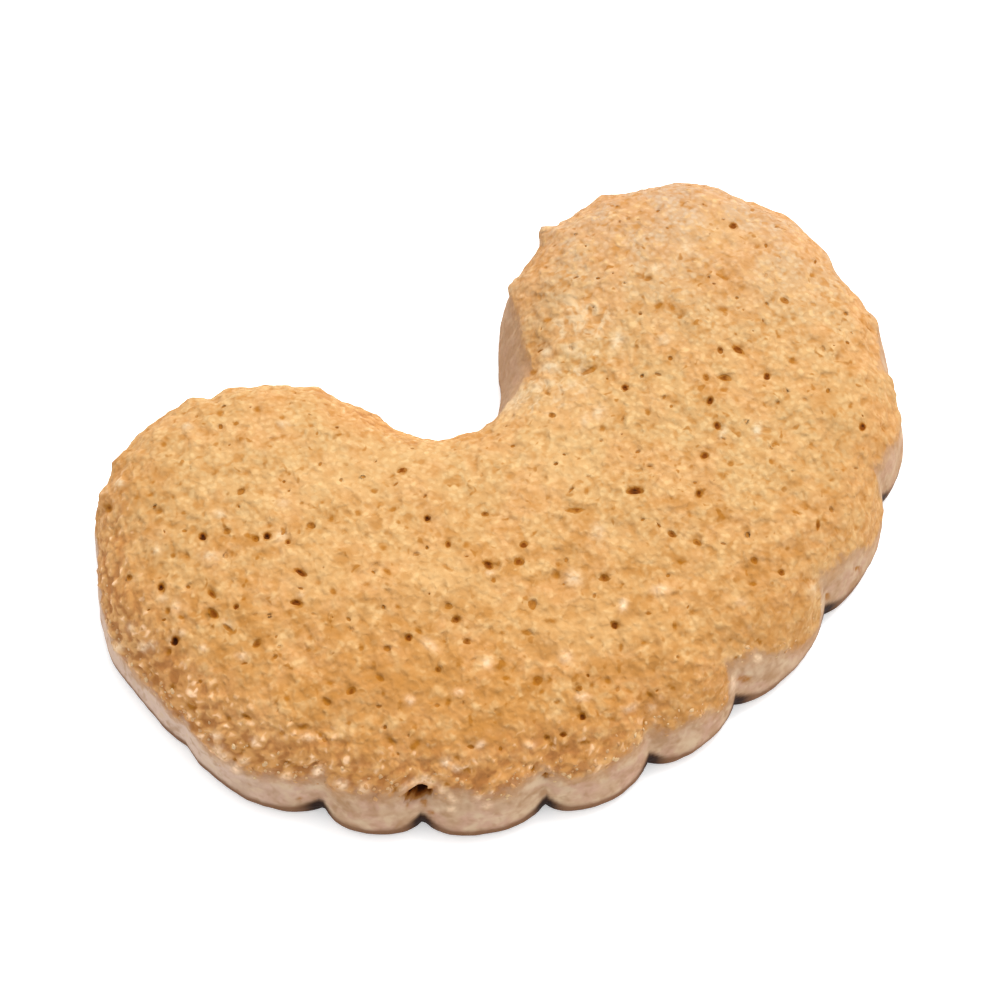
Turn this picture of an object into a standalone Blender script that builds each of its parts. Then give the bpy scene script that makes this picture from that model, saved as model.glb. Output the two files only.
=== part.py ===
"""A crescent-shaped soft biscuit with a scalloped outer side, a domed porous crust and a flat base."""
import math
import random

import bpy
import numpy as np
from mathutils import Vector, noise
from mathutils.geometry import delaunay_2d_cdt

MM = 0.001

# The outline seen from above, in millimetres. The scalloped side faces -Y and the two horns face +Y.
OUTER_RADIUS = 38.3
HORN_RADIUS = 16.2
NOTCH_RADIUS = 6.5
HORN_START = 10.6  # degrees above the chord where the horn's round begins
ARC_STEP = 0.25  # between the points that the edge line is drawn with
SPREAD = 3.5  # the outer side is this much wider than a circle, and this much shallower
SKEW = -0.7  # how far one half swells more than the other towards its corner
SHIFT = 0.3  # how far one half swells more than the other at its side
SWELL_FROM = 0.5  # the swelling begins this far out, as a share of the outer radius
SWELL_OVER = 0.4  # and is full after this much more

# Where one scallop meets the next, in millimetres along the edge from the middle of the outer side, and how far
# each scallop between two of them bulges.
LEFT_VALLEYS = (-101.0, -91.0, -80.0, -66.5, -50.5, -36.2, -26.7, -14.5, -2.7)
RIGHT_VALLEYS = (8.8, 23.3, 37.2, 48.3, 59.1, 71.6, 84.0, 96.0)
VALLEYS = LEFT_VALLEYS + RIGHT_VALLEYS
BULGES = (0.5, 0.8, -0.3, 0.65, 1.6, 1.2, 1.25, 1.4, 1.2, 1.2, 1.05, 1.2, 0.8, 0.6, 0.75, 0.85)
STEPS_PER_SCALLOP = 10
PLAIN_STEP = 1.5

# The wall from the base up to the crust: height, how far it stands in from the outline, and its share of
# the scallops' bulge.
WALL = (
    (0.0, 1.4, 0.92),
    (0.6, 0.55, 1.0),
    (1.5, 0.0, 1.0),
    (3.6, 0.25, 0.97),
    (4.6, 0.4, 0.94),
    (5.5, 0.62, 0.9),
    (6.5, 0.93, 0.84),
    (7.4, 1.3, 0.77),
    (8.1, 1.72, 0.7),
    (8.75, 2.25, 0.62),
)
WALL_ROUGH = 0.08
LIP_ROUGH = 0.3
ROUGH_LENGTH = 4.5
LIP_LEVEL = 7.5  # the height at which the crust's lip is most uneven
LIP_TALL = 2.2

# The notch's wall on the right stands in more than the rest, its lip along one stretch and its foot along
# another: place along the edge, half length, how much.
LEAN = (109.0, 13.0, 1.3)
FOOT = (105.5, 8.0, 0.75)

# The domed top.
DOME = ((2.9, 8.0), (1.4, 1.6))  # each part of the rise from the wall: how high, and how soon it levels out
HILL_HEIGHT = 0.32
HILL_LENGTH = 9.0
CRUST_HEIGHT = 0.2
CRUST_LENGTH = 2.6
HILL_SEED = 3.1
CRUST_SEED = 8.4
RIM_FADE = 3.0  # the hills and the crust's roughness grow to full height over this distance from the lip
TOP_STEP = 1.02
LIP_CLEAR = 0.55  # the top's own points keep this many steps from the lip
PORE_CLEAR = 0.45  # and this many steps from a pore

# Small points of crust that stand out of the lip: place along the edge, how far they stand out, half width.
NIBS = (
    (-102.5, 1.0, 2.5),
    (-93.0, 0.9, 2.2),
    (-89.0, 0.7, 2.0),
    (-79.0, 1.2, 2.0),
    (-75.6, 0.8, 2.0),
    (47.6, 0.9, 2.2),
    (53.6, 0.6, 1.8),
    (62.6, 0.5, 1.8),
    (85.6, 0.9, 3.6),
    (92.9, 1.5, 1.5),
    (101.0, 0.6, 2.5),
)

# The hole under the lip between two scallops: place along the edge, height, half width, half height, depth.
LIP_HOLE = (-27.0, 6.5, 1.2, 0.95, 1.5)
HOLE_STATIONS = (-0.62, -0.3, 0.3, 0.62)  # extra columns across the hole, as shares of its half width

# The pores that show most: x, y, half length, half width, turn in degrees, depth.
PORES = (
    (8.5, -13.8, 0.8, 0.5, -30.0, 0.9),
    (2.5, -12.7, 1.1, 0.35, -30.0, 0.5),
    (-3.7, -13.3, 0.5, 0.4, -20.0, 0.7),
    (-7.8, -13.5, 0.6, 0.4, -60.0, 0.7),
    (-9.9, -9.5, 0.4, 0.35, 0.0, 0.7),
    (-10.1, -5.8, 0.5, 0.4, -30.0, 0.8),
    (-9.4, 0.3, 0.55, 0.4, -10.0, 0.7),
    (-24.4, 0.1, 0.55, 0.45, 0.0, 0.9),
    (-29.6, 3.4, 0.5, 0.45, 0.0, 0.9),
    (-23.6, -5.0, 0.85, 0.35, -66.0, 0.7),
    (-25.5, -7.5, 0.7, 0.4, -45.0, 0.7),
    (-35.5, 1.2, 0.5, 0.4, 60.0, 0.8),
    (-31.8, -2.5, 0.75, 0.35, -80.0, 0.6),
    (-32.8, -4.4, 0.8, 0.35, -75.0, 0.6),
    (-36.8, -4.3, 0.8, 0.45, 40.0, 0.9),
    (-30.8, -9.2, 0.7, 0.35, 15.0, 0.6),
    (-25.5, -18.1, 0.6, 0.4, -30.0, 0.6),
    (-18.3, -16.3, 0.5, 0.35, -30.0, 0.6),
    (-13.5, -16.8, 0.5, 0.4, 0.0, 0.7),
    (-6.3, -19.2, 0.65, 0.4, -60.0, 0.6),
    (1.0, -20.2, 0.6, 0.35, -10.0, 0.6),
    (13.9, -17.0, 0.45, 0.35, 0.0, 0.7),
    (16.6, -13.7, 0.5, 0.4, 0.0, 0.8),
    (20.2, -8.7, 0.45, 0.4, -30.0, 0.8),
    (26.7, -9.1, 0.5, 0.35, 0.0, 0.7),
    (25.9, -5.0, 0.7, 0.3, -65.0, 0.5),
    (21.5, -6.2, 0.65, 0.3, -30.0, 0.5),
    (13.9, -2.8, 0.45, 0.4, 0.0, 0.8),
    (34.0, 8.3, 0.6, 0.4, 0.0, 0.7),
    (33.4, -2.3, 0.6, 0.35, -70.0, 0.6),
    (22.6, -24.9, 0.7, 0.5, 60.0, 0.7),
    (16.6, -27.5, 0.5, 0.4, 0.0, 0.6),
)
PORE_COUNT = 12
PORE_HALF_SIZE = (0.3, 0.42)
PORE_DEPTH = (0.45, 0.8)
PORE_STRETCH = (1.0, 1.7)
PORE_TURN = (-70.0, 70.0)
PORE_TRIES = 4000
PORE_RING = 8
PORE_FLOOR = 0.6  # the pore's floor reaches this share of its half size
FLOOR_DEPTH = 0.85  # how deep the floor's edge lies, as a share of the pore's depth
PORE_GAP = 3.0  # pores drawn by the rule keep this far from the others
PORE_RIM_GAP = 1.6
PORE_EDGE = 50.0  # edges turned by more degrees than this are sharp
SEED = 11

CRUST_COLOUR = (0.78, 0.44, 0.17, 1.0)


def edge_line():
    """The edge without scallops, anticlockwise from the middle of the outer side.

    Returns its places, their outward normals and how far along the edge each lies.
    """
    start = math.radians(HORN_START)
    horn = np.array((math.cos(start), math.sin(start))) * (OUTER_RADIUS - HORN_RADIUS)
    notch_y = horn[1] + math.sqrt((HORN_RADIUS + NOTCH_RADIUS) ** 2 - horn[0] ** 2)
    turn = math.atan2(notch_y - horn[1], -horn[0])
    arcs = (
        ((0.0, 0.0), OUTER_RADIUS, -math.pi / 2, start),
        (horn, HORN_RADIUS, start, turn),
        ((0.0, notch_y), NOTCH_RADIUS, turn - math.pi, -math.pi / 2),
    )
    places = []
    normals = []
    for centre, radius, first, last in arcs:
        count = int(abs(last - first) * radius / ARC_STEP)
        a = np.linspace(first, last, count, endpoint=False)
        ray = np.stack([np.cos(a), np.sin(a)], axis=1)
        places.append(np.array(centre) + ray * radius)
        normals.append(ray * (1.0 if last > first else -1.0))
    places = np.concatenate(places + [np.array([[0.0, notch_y - NOTCH_RADIUS]])])
    normals = np.concatenate(normals + [np.array([[0.0, 1.0]])])
    mirror = np.array((-1.0, 1.0))
    places = np.concatenate([places, (places * mirror)[-2::-1]])
    normals = np.concatenate([normals, (normals * mirror)[-2::-1]])
    lengths = np.concatenate([[0.0], np.cumsum(np.linalg.norm(np.diff(places, axis=0), axis=1))])
    return places, normals, lengths


def scallop(u):
    """How far the edge bulges at a place along it."""
    for low, high, bulge in zip(VALLEYS, VALLEYS[1:], BULGES):
        if low <= u < high:
            f = (u - low) / (high - low)
            return bulge * (1.0 - (2.0 * f - 1.0) ** 2)
    return 0.0


def stations(total):
    """The places along the edge where the wall has its columns, from the first valley all the way round."""
    out = []
    for low, high in zip(VALLEYS, VALLEYS[1:]):
        out += [low + (high - low) * i / STEPS_PER_SCALLOP for i in range(STEPS_PER_SCALLOP)]
    around = total - (VALLEYS[-1] - VALLEYS[0])
    count = round(around / PLAIN_STEP)
    out += [VALLEYS[-1] + around * i / count for i in range(count)]
    for side in HOLE_STATIONS:
        out.append(LIP_HOLE[0] + side * LIP_HOLE[2])
    return np.array(sorted(out))


def around_edge(u, total):
    """A place along the edge, brought into the half turn on either side of the middle."""
    return (u + total / 2) % total - total / 2


def wall_point(place, normal, u, row):
    """One point of the wall, with the lip's unevenness, the nibs and the hole under the lip."""
    height, inset, share = row
    out = share * scallop(u) - inset
    up = height / WALL[-1][0]
    for (at, half, inward), part in ((LEAN, up), (FOOT, 1.0 - up)):
        if abs(u - at) < half:
            out -= inward * part * math.cos(math.pi / 2 * (u - at) / half) ** 2
    lip = max(0.0, 1.0 - abs(height - LIP_LEVEL) / LIP_TALL)
    if height > 0.0:
        spot = Vector((place[0], place[1], height)) / ROUGH_LENGTH
        out += (WALL_ROUGH + LIP_ROUGH * lip) * noise.noise(spot)
    for at, size, half in NIBS:
        out += size * lip * max(0.0, 1.0 - abs(u - at) / half)
    at, level, half, half_height, depth = LIP_HOLE
    r = math.hypot((u - at) / half, (height - level) / half_height)
    if r < 1.0:
        out -= depth * math.sqrt(1.0 - r * r)
    return np.array((place[0] + normal[0] * out, place[1] + normal[1] * out, height))


def build_wall():
    """The rings of the wall, lowest first, each an array of points."""
    places, normals, lengths = edge_line()
    total = lengths[-1]
    angle = np.arctan2(places[:, 1], places[:, 0]) + math.pi / 2
    far = (np.hypot(places[:, 0], places[:, 1]) / OUTER_RADIUS - SWELL_FROM) / SWELL_OVER
    far = np.clip(far, 0.0, 1.0)
    far = far * far * (3.0 - 2.0 * far)
    swell = far * (-SPREAD * np.cos(2 * angle) + SHIFT * np.sin(angle) + SKEW * np.sin(3 * angle))
    places = places + normals * swell[:, None]
    columns = stations(total)
    turned = columns % total
    where = np.stack([np.interp(turned, lengths, places[:, k]) for k in (0, 1)], axis=1)
    facing = np.stack([np.interp(turned, lengths, normals[:, k]) for k in (0, 1)], axis=1)
    facing /= np.linalg.norm(facing, axis=1)[:, None]
    rings = []
    for row in WALL:
        ring = []
        for place, normal, u in zip(where, facing, columns):
            ring.append(wall_point(place, normal, around_edge(u, total), row))
        rings.append(np.array(ring))
    return rings


def inside(points, loop):
    """Which points lie inside a closed loop."""
    x, y = points[:, 0], points[:, 1]
    found = np.zeros(len(points), dtype=bool)
    ahead = np.roll(loop, -1, axis=0)
    for (x0, y0), (x1, y1) in zip(loop, ahead):
        if y0 == y1:
            continue
        crosses = (y0 > y) != (y1 > y)
        found ^= crosses & (x < (x1 - x0) * (y - y0) / (y1 - y0) + x0)
    return found


def edge_distance(points, loop):
    """The shortest way from each point to a closed loop."""
    best = np.full(len(points), 1e9)
    ahead = np.roll(loop, -1, axis=0)
    for a, b in zip(loop, ahead):
        along = b - a
        t = np.clip(((points - a) @ along) / (along @ along), 0.0, 1.0)
        best = np.minimum(best, np.linalg.norm(points - a - t[:, None] * along, axis=1))
    return best


def choose_pores(loop):
    """The stated pores and some more, drawn by a seeded rule, clear of each other and of the rim."""
    draw = random.Random(SEED)
    pores = [tuple(p) for p in PORES]
    low, high = loop.min(axis=0), loop.max(axis=0)
    wanted = len(pores) + PORE_COUNT
    for _ in range(PORE_TRIES):
        if len(pores) >= wanted:
            break
        x = draw.uniform(low[0], high[0])
        y = draw.uniform(low[1], high[1])
        half = draw.uniform(*PORE_HALF_SIZE)
        stretch = draw.uniform(*PORE_STRETCH)
        turn = draw.uniform(*PORE_TURN)
        depth = draw.uniform(*PORE_DEPTH)
        spot = np.array([(x, y)])
        if not inside(spot, loop)[0] or edge_distance(spot, loop)[0] < PORE_RIM_GAP:
            continue
        if any(math.hypot(x - p[0], y - p[1]) < PORE_GAP for p in pores):
            continue
        pores.append((x, y, half * stretch, half, turn, depth))
    return pores


def pore_ring(pore, share):
    """A ring of points round a pore, at a share of its half size."""
    x, y, half_long, half_wide, turn, _ = pore
    c, s = math.cos(math.radians(turn)), math.sin(math.radians(turn))
    ring = []
    for i in range(PORE_RING):
        a = 2 * math.pi * i / PORE_RING
        p, q = half_long * share * math.cos(a), half_wide * share * math.sin(a)
        ring.append((x + p * c - q * s, y + p * s + q * c))
    return ring


def top_height(points, loop):
    """The crust's height: a dome with low hills and a rougher crust over them."""
    away = edge_distance(points, loop)
    height = np.full(len(points), WALL[-1][0])
    for rise, reach in DOME:
        height += rise * (1.0 - np.exp(-away / reach))
    for i, (x, y) in enumerate(points):
        fade = min(1.0, away[i] / RIM_FADE)
        hill = noise.noise(Vector((x / HILL_LENGTH, y / HILL_LENGTH, HILL_SEED)))
        crust = noise.noise(Vector((x / CRUST_LENGTH, y / CRUST_LENGTH, CRUST_SEED)))
        height[i] += fade * (HILL_HEIGHT * hill + CRUST_HEIGHT * crust)
    return height


def build_top(loop):
    """Points and triangles of the top. The first points are those of the wall's last ring."""
    pores = choose_pores(loop)
    low, high = loop.min(axis=0), loop.max(axis=0)
    grid = []
    row = 0
    y = low[1]
    while y < high[1]:
        x = low[0] + (row % 2) * TOP_STEP / 2
        while x < high[0]:
            grid.append((x, y))
            x += TOP_STEP
        y += TOP_STEP * math.sqrt(0.75)
        row += 1
    grid = np.array(grid)
    grid = grid[inside(grid, loop)]
    grid = grid[edge_distance(grid, loop) > TOP_STEP * LIP_CLEAR]
    for pore in pores:
        clear = np.hypot(grid[:, 0] - pore[0], grid[:, 1] - pore[1]) > pore[2] + TOP_STEP * PORE_CLEAR
        grid = grid[clear]
    flat = [tuple(p) for p in loop] + [tuple(p) for p in grid]
    edges = [(i, (i + 1) % len(loop)) for i in range(len(loop))]
    sunk = {}
    for pore in pores:
        for share in (1.0, PORE_FLOOR):
            first = len(flat)
            flat += pore_ring(pore, share)
            edges += [(first + i, first + (i + 1) % PORE_RING) for i in range(PORE_RING)]
            for i in range(PORE_RING):
                sunk[first + i] = 0.0 if share == 1.0 else pore[5] * FLOOR_DEPTH
        sunk[len(flat)] = pore[5]
        flat.append((pore[0], pore[1]))
    out = delaunay_2d_cdt([Vector(p) for p in flat], edges, [], 1, 1e-5)
    if len(out[0]) != len(flat):
        raise ValueError("two lines of the top cross")
    flat = np.array(flat)
    height = top_height(flat, loop)
    for index, depth in sunk.items():
        height[index] -= depth
    return np.column_stack([flat, height]), [tuple(t) for t in out[2]]


def build_base(loop):
    """Triangles of the flat base, on the wall's first ring."""
    count = len(loop)
    edges = [(i, (i + 1) % count) for i in range(count)]
    out = delaunay_2d_cdt([Vector(p) for p in loop], edges, [], 1, 1e-5)
    return [tuple(reversed(t)) for t in out[2]]


def build_biscuit():
    """The whole biscuit as one closed mesh."""
    rings = build_wall()
    count = len(rings[0])
    points = [tuple(p) for ring in rings for p in ring]
    faces = []
    for level in range(len(rings) - 1):
        a, b = level * count, (level + 1) * count
        for i in range(count):
            j = (i + 1) % count
            faces.append((a + i, a + j, b + j))
            faces.append((a + i, b + j, b + i))
    faces += build_base(rings[0][:, :2])
    top, triangles = build_top(rings[-1][:, :2])
    first = (len(rings) - 1) * count
    offset = len(points) - count
    points += [tuple(p) for p in top[count:]]
    for triangle in triangles:
        faces.append(tuple(first + i if i < count else offset + i for i in triangle))
    points = np.array(points)
    middle = (points.min(axis=0) + points.max(axis=0)) / 2
    points -= np.array((middle[0], middle[1], points[:, 2].min()))
    mesh = bpy.data.meshes.new("biscuit")
    mesh.from_pydata([tuple(p * MM) for p in points], [], faces)
    mesh.validate()
    mesh.shade_smooth()
    mesh.set_sharp_from_angle(angle=math.radians(PORE_EDGE))
    return mesh


for old in list(bpy.data.objects):
    bpy.data.objects.remove(old, do_unlink=True)

crust = bpy.data.materials.new("crust")
crust.use_nodes = True
shader = crust.node_tree.nodes["Principled BSDF"]
shader.inputs["Base Color"].default_value = CRUST_COLOUR
shader.inputs["Roughness"].default_value = 0.85

biscuit = bpy.data.objects.new("biscuit", build_biscuit())
biscuit.data.materials.append(crust)
bpy.context.collection.objects.link(biscuit)
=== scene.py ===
"""A crescent-shaped soft biscuit on a pale floor, seen from above and in front of its scalloped side."""

import math
import random

import bpy
import numpy as np
from mathutils import Matrix, Vector, noise
from mathutils.geometry import delaunay_2d_cdt


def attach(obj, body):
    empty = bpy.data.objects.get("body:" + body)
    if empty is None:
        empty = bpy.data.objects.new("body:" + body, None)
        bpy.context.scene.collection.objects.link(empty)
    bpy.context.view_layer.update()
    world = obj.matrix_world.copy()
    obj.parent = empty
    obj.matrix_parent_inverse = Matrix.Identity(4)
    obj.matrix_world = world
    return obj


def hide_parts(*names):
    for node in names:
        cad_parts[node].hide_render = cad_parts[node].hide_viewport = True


MM = 0.001

# The middle of the box round the CAD model, in the frame that the edge is drawn in.
ORIGIN = np.array((0.834, -7.302, 0.0))

# The camera, fitted to the photograph's outline of the biscuit. It aims at the point that the edge is drawn
# round.
VIEW_AZIMUTH = 30.59
VIEW_ELEVATION = 60.0
VIEW_DISTANCE = 350.0
PIXELS = 1000
PIXELS_PER_MM = 9.92
AIM_PIXEL = (486.8, 489.5)
SENSOR = 36.0

# The studio: the way to its brightest side, how bright it is on the camera's side and on that side, and the
# lamp's place and width in metres and its power.
BRIGHT_SIDE = (0.28, 0.18, 1.0)
STUDIO_LEVELS = (0.12, 1.6)
LAMP = ((0.47, 0.28, 1.0), 0.6, 10.5)
LIGHT_LEVEL = 1.6  # how much brighter the light is than would show a white floor as just white
FLOOR_REACH = 3.0  # from the middle of the floor to its side, in metres
FLOOR_GLOW = 0.38  # the studio's ground is lit from below too, so its shadow is faint

# The outline seen from above, in millimetres. The scalloped side faces -Y and the two horns face +Y.
OUTER_RADIUS = 38.3
HORN_RADIUS = 16.2
NOTCH_RADIUS = 6.5
HORN_START = 10.6  # degrees above the chord where the horn's round begins
SPREAD = 3.5  # the outer side is this much wider than a circle, and this much shallower
SKEW = -0.7  # how far one half swells more than the other towards its corner
SHIFT = 0.3  # how far one half swells more than the other at its side
SWELLS = (0.5, 0.9)  # the edge swells from the first to the second share of the arc's radius
LEFT_VALLEYS = (-101.0, -91.0, -80.0, -66.5, -50.5, -36.2, -26.7, -14.5, -2.7)
RIGHT_VALLEYS = (8.8, 23.3, 37.2, 48.3, 59.1, 71.6, 84.0, 96.0)
VALLEYS = LEFT_VALLEYS + RIGHT_VALLEYS
BULGES = (0.5, 0.8, -0.3, 0.65, 1.6, 1.2, 1.25, 1.4, 1.2, 1.2, 1.05, 1.2, 0.8, 0.6, 0.75, 0.85)

# The wall from the base up to the crust: height, how far it stands in from the outline, share of the bulge of
# the scallops.
WALL = (
    (0.0, 1.5, 0.9),
    (0.3, 0.95, 0.95),
    (0.7, 0.45, 1.0),
    (1.2, 0.12, 1.0),
    (1.8, 0.0, 1.0),
    (3.6, 0.25, 0.97),
    (4.6, 0.4, 0.94),
    (5.5, 0.62, 0.9),
    (6.5, 0.93, 0.84),
    (7.4, 1.3, 0.77),
    (8.1, 1.72, 0.7),
    (8.75, 2.25, 0.62),
)
WALL_STEP = 0.34  # between one row of the wall's points and the next
EDGE_STEP = 0.4  # between one column and the next
LINE_STEP = 0.25  # between the points of the edge line itself
WALL_ROUGH = 0.08  # how uneven the wall is
LIP_ROUGH = 0.3  # and how much more so at its lip
ROUGH_LENGTH = 4.5
SMOOTH_FOOT = 0.3  # the wall grows even below this height
LIP_LEVEL = 7.5
LIP_TALL = 2.2  # how far the lip reaches above and below its level
# The notch's wall on the right stands in more than the rest, its lip along one stretch and its foot along
# another: place along the edge, half length, how much.
LEAN = (109.0, 13.0, 1.3)
FOOT = (105.5, 8.0, 0.75)

# The domed top.
DOME = ((2.9, 8.0), (1.4, 1.6))  # each part of the rise from the wall: how high, and how soon it levels out
HILLS = ((0.32, 9.0, 3.1), (0.2, 2.6, 8.4))  # low hills and a rougher crust: height, length, slice of noise
RIM_FADE = 3.0  # they fade out toward the rim over this width
TOP_STEP = 0.245  # between one point of the top and the next
BASE_STEP = 1.2  # the same on the base
GRID_GAP = 0.6  # the least way from such a point to the loop round them, beside their step

# Small points of crust that stand out of the lip: place along the edge, how far they stand out, half width.
NIBS = (
    (-102.5, 1.0, 2.5),
    (-93.0, 0.9, 2.2),
    (-89.0, 0.7, 2.0),
    (-79.0, 1.2, 2.0),
    (-75.6, 0.8, 2.0),
    (47.6, 0.9, 2.2),
    (53.6, 0.6, 1.8),
    (62.6, 0.5, 1.8),
    (85.6, 0.9, 3.6),
    (92.9, 1.5, 1.5),
    (101.0, 0.6, 2.5),
)
LIP_HOLE = (-27.1, 6.6, 1.35, 0.95, 2.2)  # place along the edge, height, half width, half height, depth

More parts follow.
